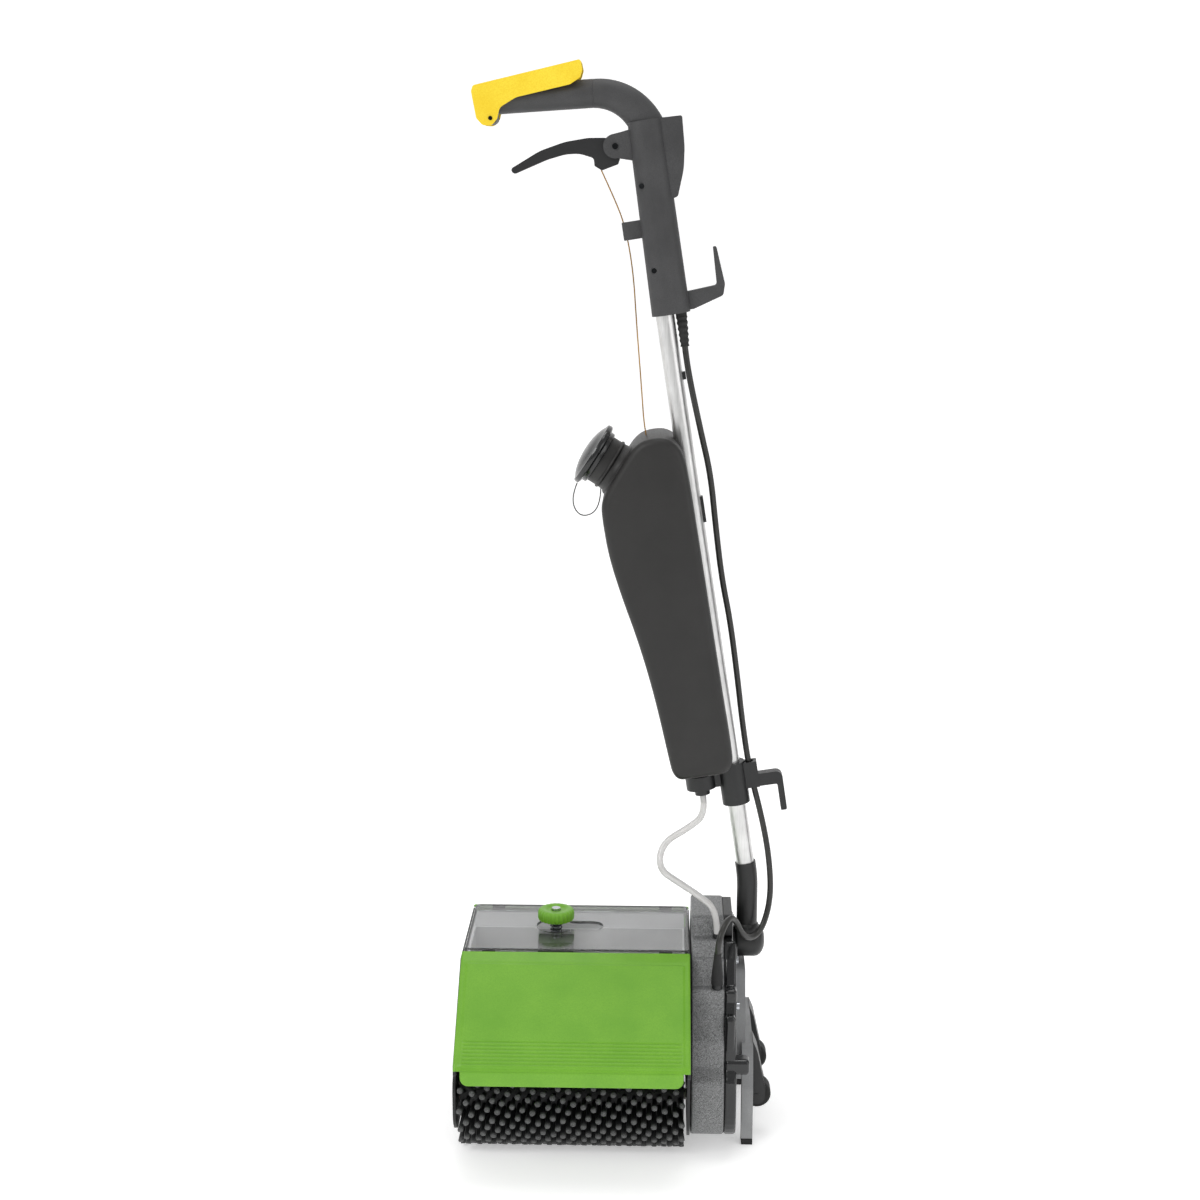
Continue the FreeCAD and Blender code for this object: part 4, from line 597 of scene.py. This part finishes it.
def soft_outline(points, share):
    """Closed smooth outline in a control polygon: (1-t)^2 A + 2 t (1-t) P + t^2 B between the middles of its sides."""
    points = np.array(points, float)
    before, after = (points + np.roll(points, 1, 0)) / 2, (points + np.roll(points, -1, 0)) / 2
    t = np.linspace(0, 1, share, endpoint=False)[:, None, None]
    return ((1 - t) ** 2 * before + 2 * t * (1 - t) * points + t ** 2 * after).transpose(1, 0, 2).reshape(-1, 2)


def on_handle(points):
    """Block points (x, z along the handle, depth) to the row frame."""
    return in_metres(up_handle(*points[:, [0, 2, 1]].tolist()))


half_width, edge_radius = 48, 7.5
tank_line = [
    (3.4, 170), (2.6, 200), (1.2, 380), (0.4, 440), (-1.5, 468), (-13, 483), (-30, 486), (-47, 482.5),
    (-64, 463), (-82, 441), (-91, 428), (-92.2, 408), (-91.4, 372), (-85, 330), (-76, 285), (-69.5, 240),
    (-65.6, 200), (-62.8, 160), (-60.3, 129), (-38, 129), (-30, 129), (3.3, 129)]
points, faces = slab(soft_outline(tank_line, 12), -half_width, half_width, edge_radius)
shell = (on_handle(points), faces)
lean = math.radians(handle_lean)
up_axis = (-math.sin(lean), 0, math.cos(lean))
neck_angle = math.radians(48.65 + handle_lean)
neck_axis = (-math.sin(neck_angle), 0, math.cos(neck_angle))
neck_foot = up_handle((-69.7, 0, 453.2))[0]
neck = [
    (-14, 0), (-14, 30), (-1, 29), (1.5, 28.6), (3, 27.4), (3.8, 26.2), (9, 25.6), (9.8, 26.8), (11, 27.2),
    (12.2, 26.8), (13, 25.6), (22, 25.6), (22, 0)]
outlet = [(-21, 0), (-21, 9), (-9, 9), (-8.9, 14), (1.5, 14), (1.5, 0)]
stubs = [turned(neck, neck_foot, neck_axis, 64), turned(outlet, up_handle((-34, 0, 129))[0], up_axis, 40)]
points, faces = joined(shell, *((in_metres(stub), sides) for stub, sides in stubs))
tank = mesh_piece("solution_tank_shell", points, faces, polyethylene, "handle", sharp=50)
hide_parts("solution_tank")
cap_form = [
    (22.2, 0), (22.2, 27), (23, 28.3), (26.2, 28.5), (27, 29), (27.6, 31.6), (28.6, 33.2), (30, 33.6),
    (32.2, 33.5), (33.6, 32.6), (34, 31.2), (34.2, 30.2), (36.4, 26), (38.4, 20.5), (39.9, 14), (40.7, 7), (41, 0)]
points, faces = turned(cap_form, neck_foot, neck_axis, 72)
cap = mesh_piece("filler_cap_dome", in_metres(points), faces, gloss_black, "cap", sharp=35)
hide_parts("filler_cap")
dress(acetal, "valve_rod")


# The upper housing: two moulded halves screwed together round the tube, with the grip, the yellow
# start trigger over it and the black solution lever under it.
dark_nylon = moulded("glass-filled nylon, moulded dark grey", "#323233", "#434344", 0.6, 0.0009, 0.00022, ior=1.53)
dress(dark_nylon, "housing_front_half", "housing_rear_half", "grip_sleeve")
yellow = moulded("ABS, moulded signal yellow", "#F0CB1E", "#FADF3A", 0.34, 0.0013, 0.00008, ior=1.52)
dress(yellow, "trigger")
dress(satin_black, "solution_lever")
blackened = metal("carbon steel, turned and blackened", "#1C1D1E", "#313335", 0.4, 0.0006, 0)
dress(blackened, "handle_pins_and_screws")


# The lead, hose, pull wire and cap loop. Each is one flexible length on a smooth line: the lead goes
# from its boot under the housing down to the gearbox, and the hose from the tank to its nipple.
def line_of(name, stops, radius):
    """The NURBS line through the route's control points, as its own points, and as a round tube's mesh."""
    curve = bpy.data.curves.new(name, "CURVE")
    curve.dimensions = "3D"
    curve.resolution_u = 12
    curve.bevel_resolution = 3
    curve.use_fill_caps = True
    spline = curve.splines.new("NURBS")
    spline.points.add(len(stops) - 1)
    spline.points.foreach_set("co", np.hstack([stops, np.ones((len(stops), 1))]).ravel())
    spline.order_u = 3
    spline.use_endpoint_u = True
    carrier = bpy.data.objects.new(name, curve)
    bpy.context.scene.collection.objects.link(carrier)
    line = bpy.data.meshes.new_from_object(carrier)
    path = np.zeros(len(line.vertices) * 3)
    line.vertices.foreach_get("co", path)
    curve.bevel_depth = radius
    bpy.context.view_layer.update()
    tube = bpy.data.meshes.new_from_object(carrier.evaluated_get(bpy.context.evaluated_depsgraph_get()))
    bpy.data.objects.remove(carrier)
    piece = bpy.data.objects.new(name, tube)
    bpy.context.scene.collection.objects.link(piece)
    tube.polygons.foreach_set("use_smooth", np.full(len(tube.polygons), True))
    return piece, path.reshape(-1, 3)


def cord_piece(name, node, stops, diameter, material, ends):
    """A tube on its line, standing for a CAD node, baked in place when ends has four items and else attached to its
    body.
    """
    piece, path = line_of(name, stops, diameter / 2)
    piece.data.materials.clear()
    piece.data.materials.append(material)
    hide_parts(node)
    if len(ends) == 4:
        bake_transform(piece)
    else:
        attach(piece, *ends)
    return piece, path


sheath = moulded("PVC, extruded black sheath", "#1B1B19", "#2C2C29", 0.36, 0.0016, 0.00008, ior=1.54)
vinyl, shader = started("PVC, extruded clear tube", ior=1.53, transmission_weight=0.35)
place = add(vinyl, "ShaderNodeTexCoord", {})["Object"]
milk = add(vinyl, "ShaderNodeTexNoise", {"Vector": place, "Scale": 90.0, "Detail": 3.0})["Fac"]
tint = add(vinyl, "ShaderNodeMix", {0: milk, 6: linear("#DEDCDA"), 7: linear("#F2F1F0")}, data_type="RGBA")[2]
gloss = add(vinyl, "ShaderNodeMapRange", {
    "Value": milk, "From Min": 0.3, "From Max": 0.7, "To Min": 0.12, "To Max": 0.24})[0]
wire(vinyl, tint, shader.inputs["Base Color"])
wire(vinyl, gloss, shader.inputs["Roughness"])
brass_wire = metal("steel wire, drawn and brass coated", "#8C6A3C", "#C39A5C", 0.32, 0.0008, 2)

lead_stops = in_metres(
    up_handle((16.6, 0, 614), (16.4, 0, 588), (14.6, -8, 548), (18.8, -8, 482), (22.6, -8, 436), (20.0, -8, 380),
              (18.6, -6, 326), (20.9, -6, 282), (20.0, -4, 222), (18.2, 0, 168), (18.4, 0, 119)),
    [(199, -2, 334), (207, -8, 290), (209, -8, 246), (198, -18, 212), (180, -41, 214), (166, -57, 251),
     (151.5, -93, 238), (150.5, -82, 200), (150.5, -82, 178)])
lead, lead_path = cord_piece("motor_lead_sheath", "motor_lead", lead_stops, 0.0065, sheath,
                             ("head", "handle", (0.105, -0.060, 0.190), (0.150, -0.004, 0.300)))
hose_stops = in_metres(
    up_handle((-34, 0, 97), (-34, 0, 75)),
    [(120, -3, 324), (93, -7, 309), (88.5, -20, 284.5), (112, -30, 272), (131, -35, 261), (151, -41, 246.5), (151, -41, 221)])
hose, hose_path = cord_piece("solution_hose_tube", "solution_hose", hose_stops, 0.007, vinyl,
                             ("head", "handle", (0.100, -0.041, 0.240), (0.075, 0.0, 0.335)))
wire_stops = in_metres(up_handle(
    (-41.6, 0, 753), (-33.2, 0, 725), (-26.2, 0, 695), (-25, 0, 650), (-29.5, 0, 598), (-33.6, 0, 541),
    (-38.2, 0, 483), (-35, 0, 470.5)))
top_of_wire, slack = in_metres(up_handle((-41.6, 0, 753), (-26.2, 0, 695)))
cord_piece("pull_wire_strand", "pull_wire", wire_stops, 0.0014, brass_wire,
           ("handle", "lever", tuple(slack), tuple(top_of_wire)))
tether_stops = in_metres(up_handle((-114, 0, 446.5), (-124, 0, 430), (-116.5, 0, 409.5), (-95, 0, 415), (-91, 0, 437)))
cord_piece("cap_tether_loop", "cap_tether", tether_stops, 0.0012, sheath,
           ("handle", "cap", tuple(tether_stops[-1]), tuple(tether_stops[0])))


def boot(name, path, start, finish, radii, ribs, body):
    """Tapered ribbed sleeve on a stretch of a line: point = line + (side cos + up sin) * radius at that length."""
    run = np.concatenate([[0], np.cumsum(np.linalg.norm(np.diff(path, axis=0), axis=1))])
    travel = np.linspace(start, finish, 61)
    line = np.stack([np.interp(travel, run, path[:, n]) for n in range(3)], -1)
    ahead = np.gradient(line, travel, axis=0)
    ahead /= np.linalg.norm(ahead, axis=1, keepdims=True)
    side = np.cross(ahead, (0, 1.0, 0))
    side /= np.linalg.norm(side, axis=1, keepdims=True)
    up = np.cross(side, ahead)
    share = np.linspace(0, 1, 61)
    radius = radii[0] + (radii[1] - radii[0]) * share + 0.0004 * np.cos(share * 2 * np.pi * ribs) * (share > 0.15)
    angle = np.linspace(0, 2 * np.pi, 24, endpoint=False)
    ring = side[:, None] * np.cos(angle)[None, :, None] + up[:, None] * np.sin(angle)[None, :, None]
    points = (line[:, None] + ring * radius[:, None, None]).reshape(-1, 3)
    points = np.vstack([points, line[:1], line[-1:]])
    wall = grid_faces(61, 24, wrap_columns=True)
    first, last = np.arange(24), 60 * 24 + np.arange(24)
    lids = [(a, b, 61 * 24) for a, b in zip(np.roll(first, -1), first)] + [
        (a, b, 61 * 24 + 1) for a, b in zip(last, np.roll(last, -1))]
    return mesh_piece(name, points, wall[:, ::-1].tolist() + [face[::-1] for face in lids], rubber, body)


boot("lead_boot_at_housing", lead_path, 0.0105, 0.046, (0.0058, 0.0042), 6, "handle")
boot("lead_boot_at_gearbox", lead_path[::-1], 0.0035, 0.040, (0.0062, 0.0041), 0.5, "head")


# The floor it stands on, a pale plain sweep, and the soft lights of a studio.
paper, shader = started("paper sweep, matt white", roughness=0.85, emission_strength=0.42)
place = add(paper, "ShaderNodeTexCoord", {})["Object"]
fibre = add(paper, "ShaderNodeTexNoise", {"Vector": place, "Scale": 400.0, "Detail": 2.0})["Fac"]
tint = add(paper, "ShaderNodeMix", {0: fibre, 6: linear("#F4F4F4"), 7: linear("#FAFAFA")}, data_type="RGBA")[2]
wire(paper, tint, shader.inputs["Base Color"])
wire(paper, tint, shader.inputs["Emission Color"])
depth = np.concatenate([np.linspace(-6, 5, 12), 5 + 2.5 * np.sin(np.linspace(0.15, np.pi / 2, 12)), [7.5]])
rise = np.concatenate([np.zeros(12), 2.5 - 2.5 * np.cos(np.linspace(0.15, np.pi / 2, 12)), [12.0]])
across = np.linspace(-9, 9, 2)
sweep = np.stack([np.broadcast_to(across, (25, 2)), np.broadcast_to(depth[:, None], (25, 2)),
                  np.broadcast_to(rise[:, None], (25, 2))], -1)
floor = mesh_piece("paper_sweep", sweep, grid_faces(25, 2), paper, None)

world = bpy.data.worlds.new("studio")
bpy.context.scene.world = world
world.use_nodes = True
world.node_tree.nodes["Background"].inputs["Color"].default_value = linear("#FFFFFF")
world.node_tree.nodes["Background"].inputs["Strength"].default_value = 0.5
for name, power, size, spot, aim in (
        ("key_light", 55, 1.6, (-2.2, -2.4, 3.2), (0, 0, 0.5)), ("fill_light", 18, 2.0, (2.8, -2.0, 1.6), (0, 0, 0.5)),
        ("top_light", 34, 1.8, (0.2, 0.4, 4.2), (0, 0, 0.3))):
    lamp = bpy.data.lights.new(name, "AREA")
    lamp.energy = power
    lamp.size = size
    holder = bpy.data.objects.new(name, lamp)
    holder.location = spot
    toward = np.array(aim) - np.array(spot)
    tilt = math.acos(-toward[2] / np.linalg.norm(toward))
    holder.rotation_euler = (tilt, 0, math.atan2(toward[1], toward[0]) - math.pi / 2)
    bpy.context.scene.collection.objects.link(holder)
bpy.context.scene.view_settings.view_transform = "Standard"

lens = bpy.data.cameras.new("front_camera")
lens.lens = 60
lens.sensor_width = 36
camera = bpy.data.objects.new("front_camera", lens)
camera.location = (0.0393, -2.034, 1.001)
camera.rotation_euler = (math.radians(90 - 11.94), 0, math.radians(1.79))
bpy.context.scene.collection.objects.link(camera)
bpy.context.scene.camera = camera
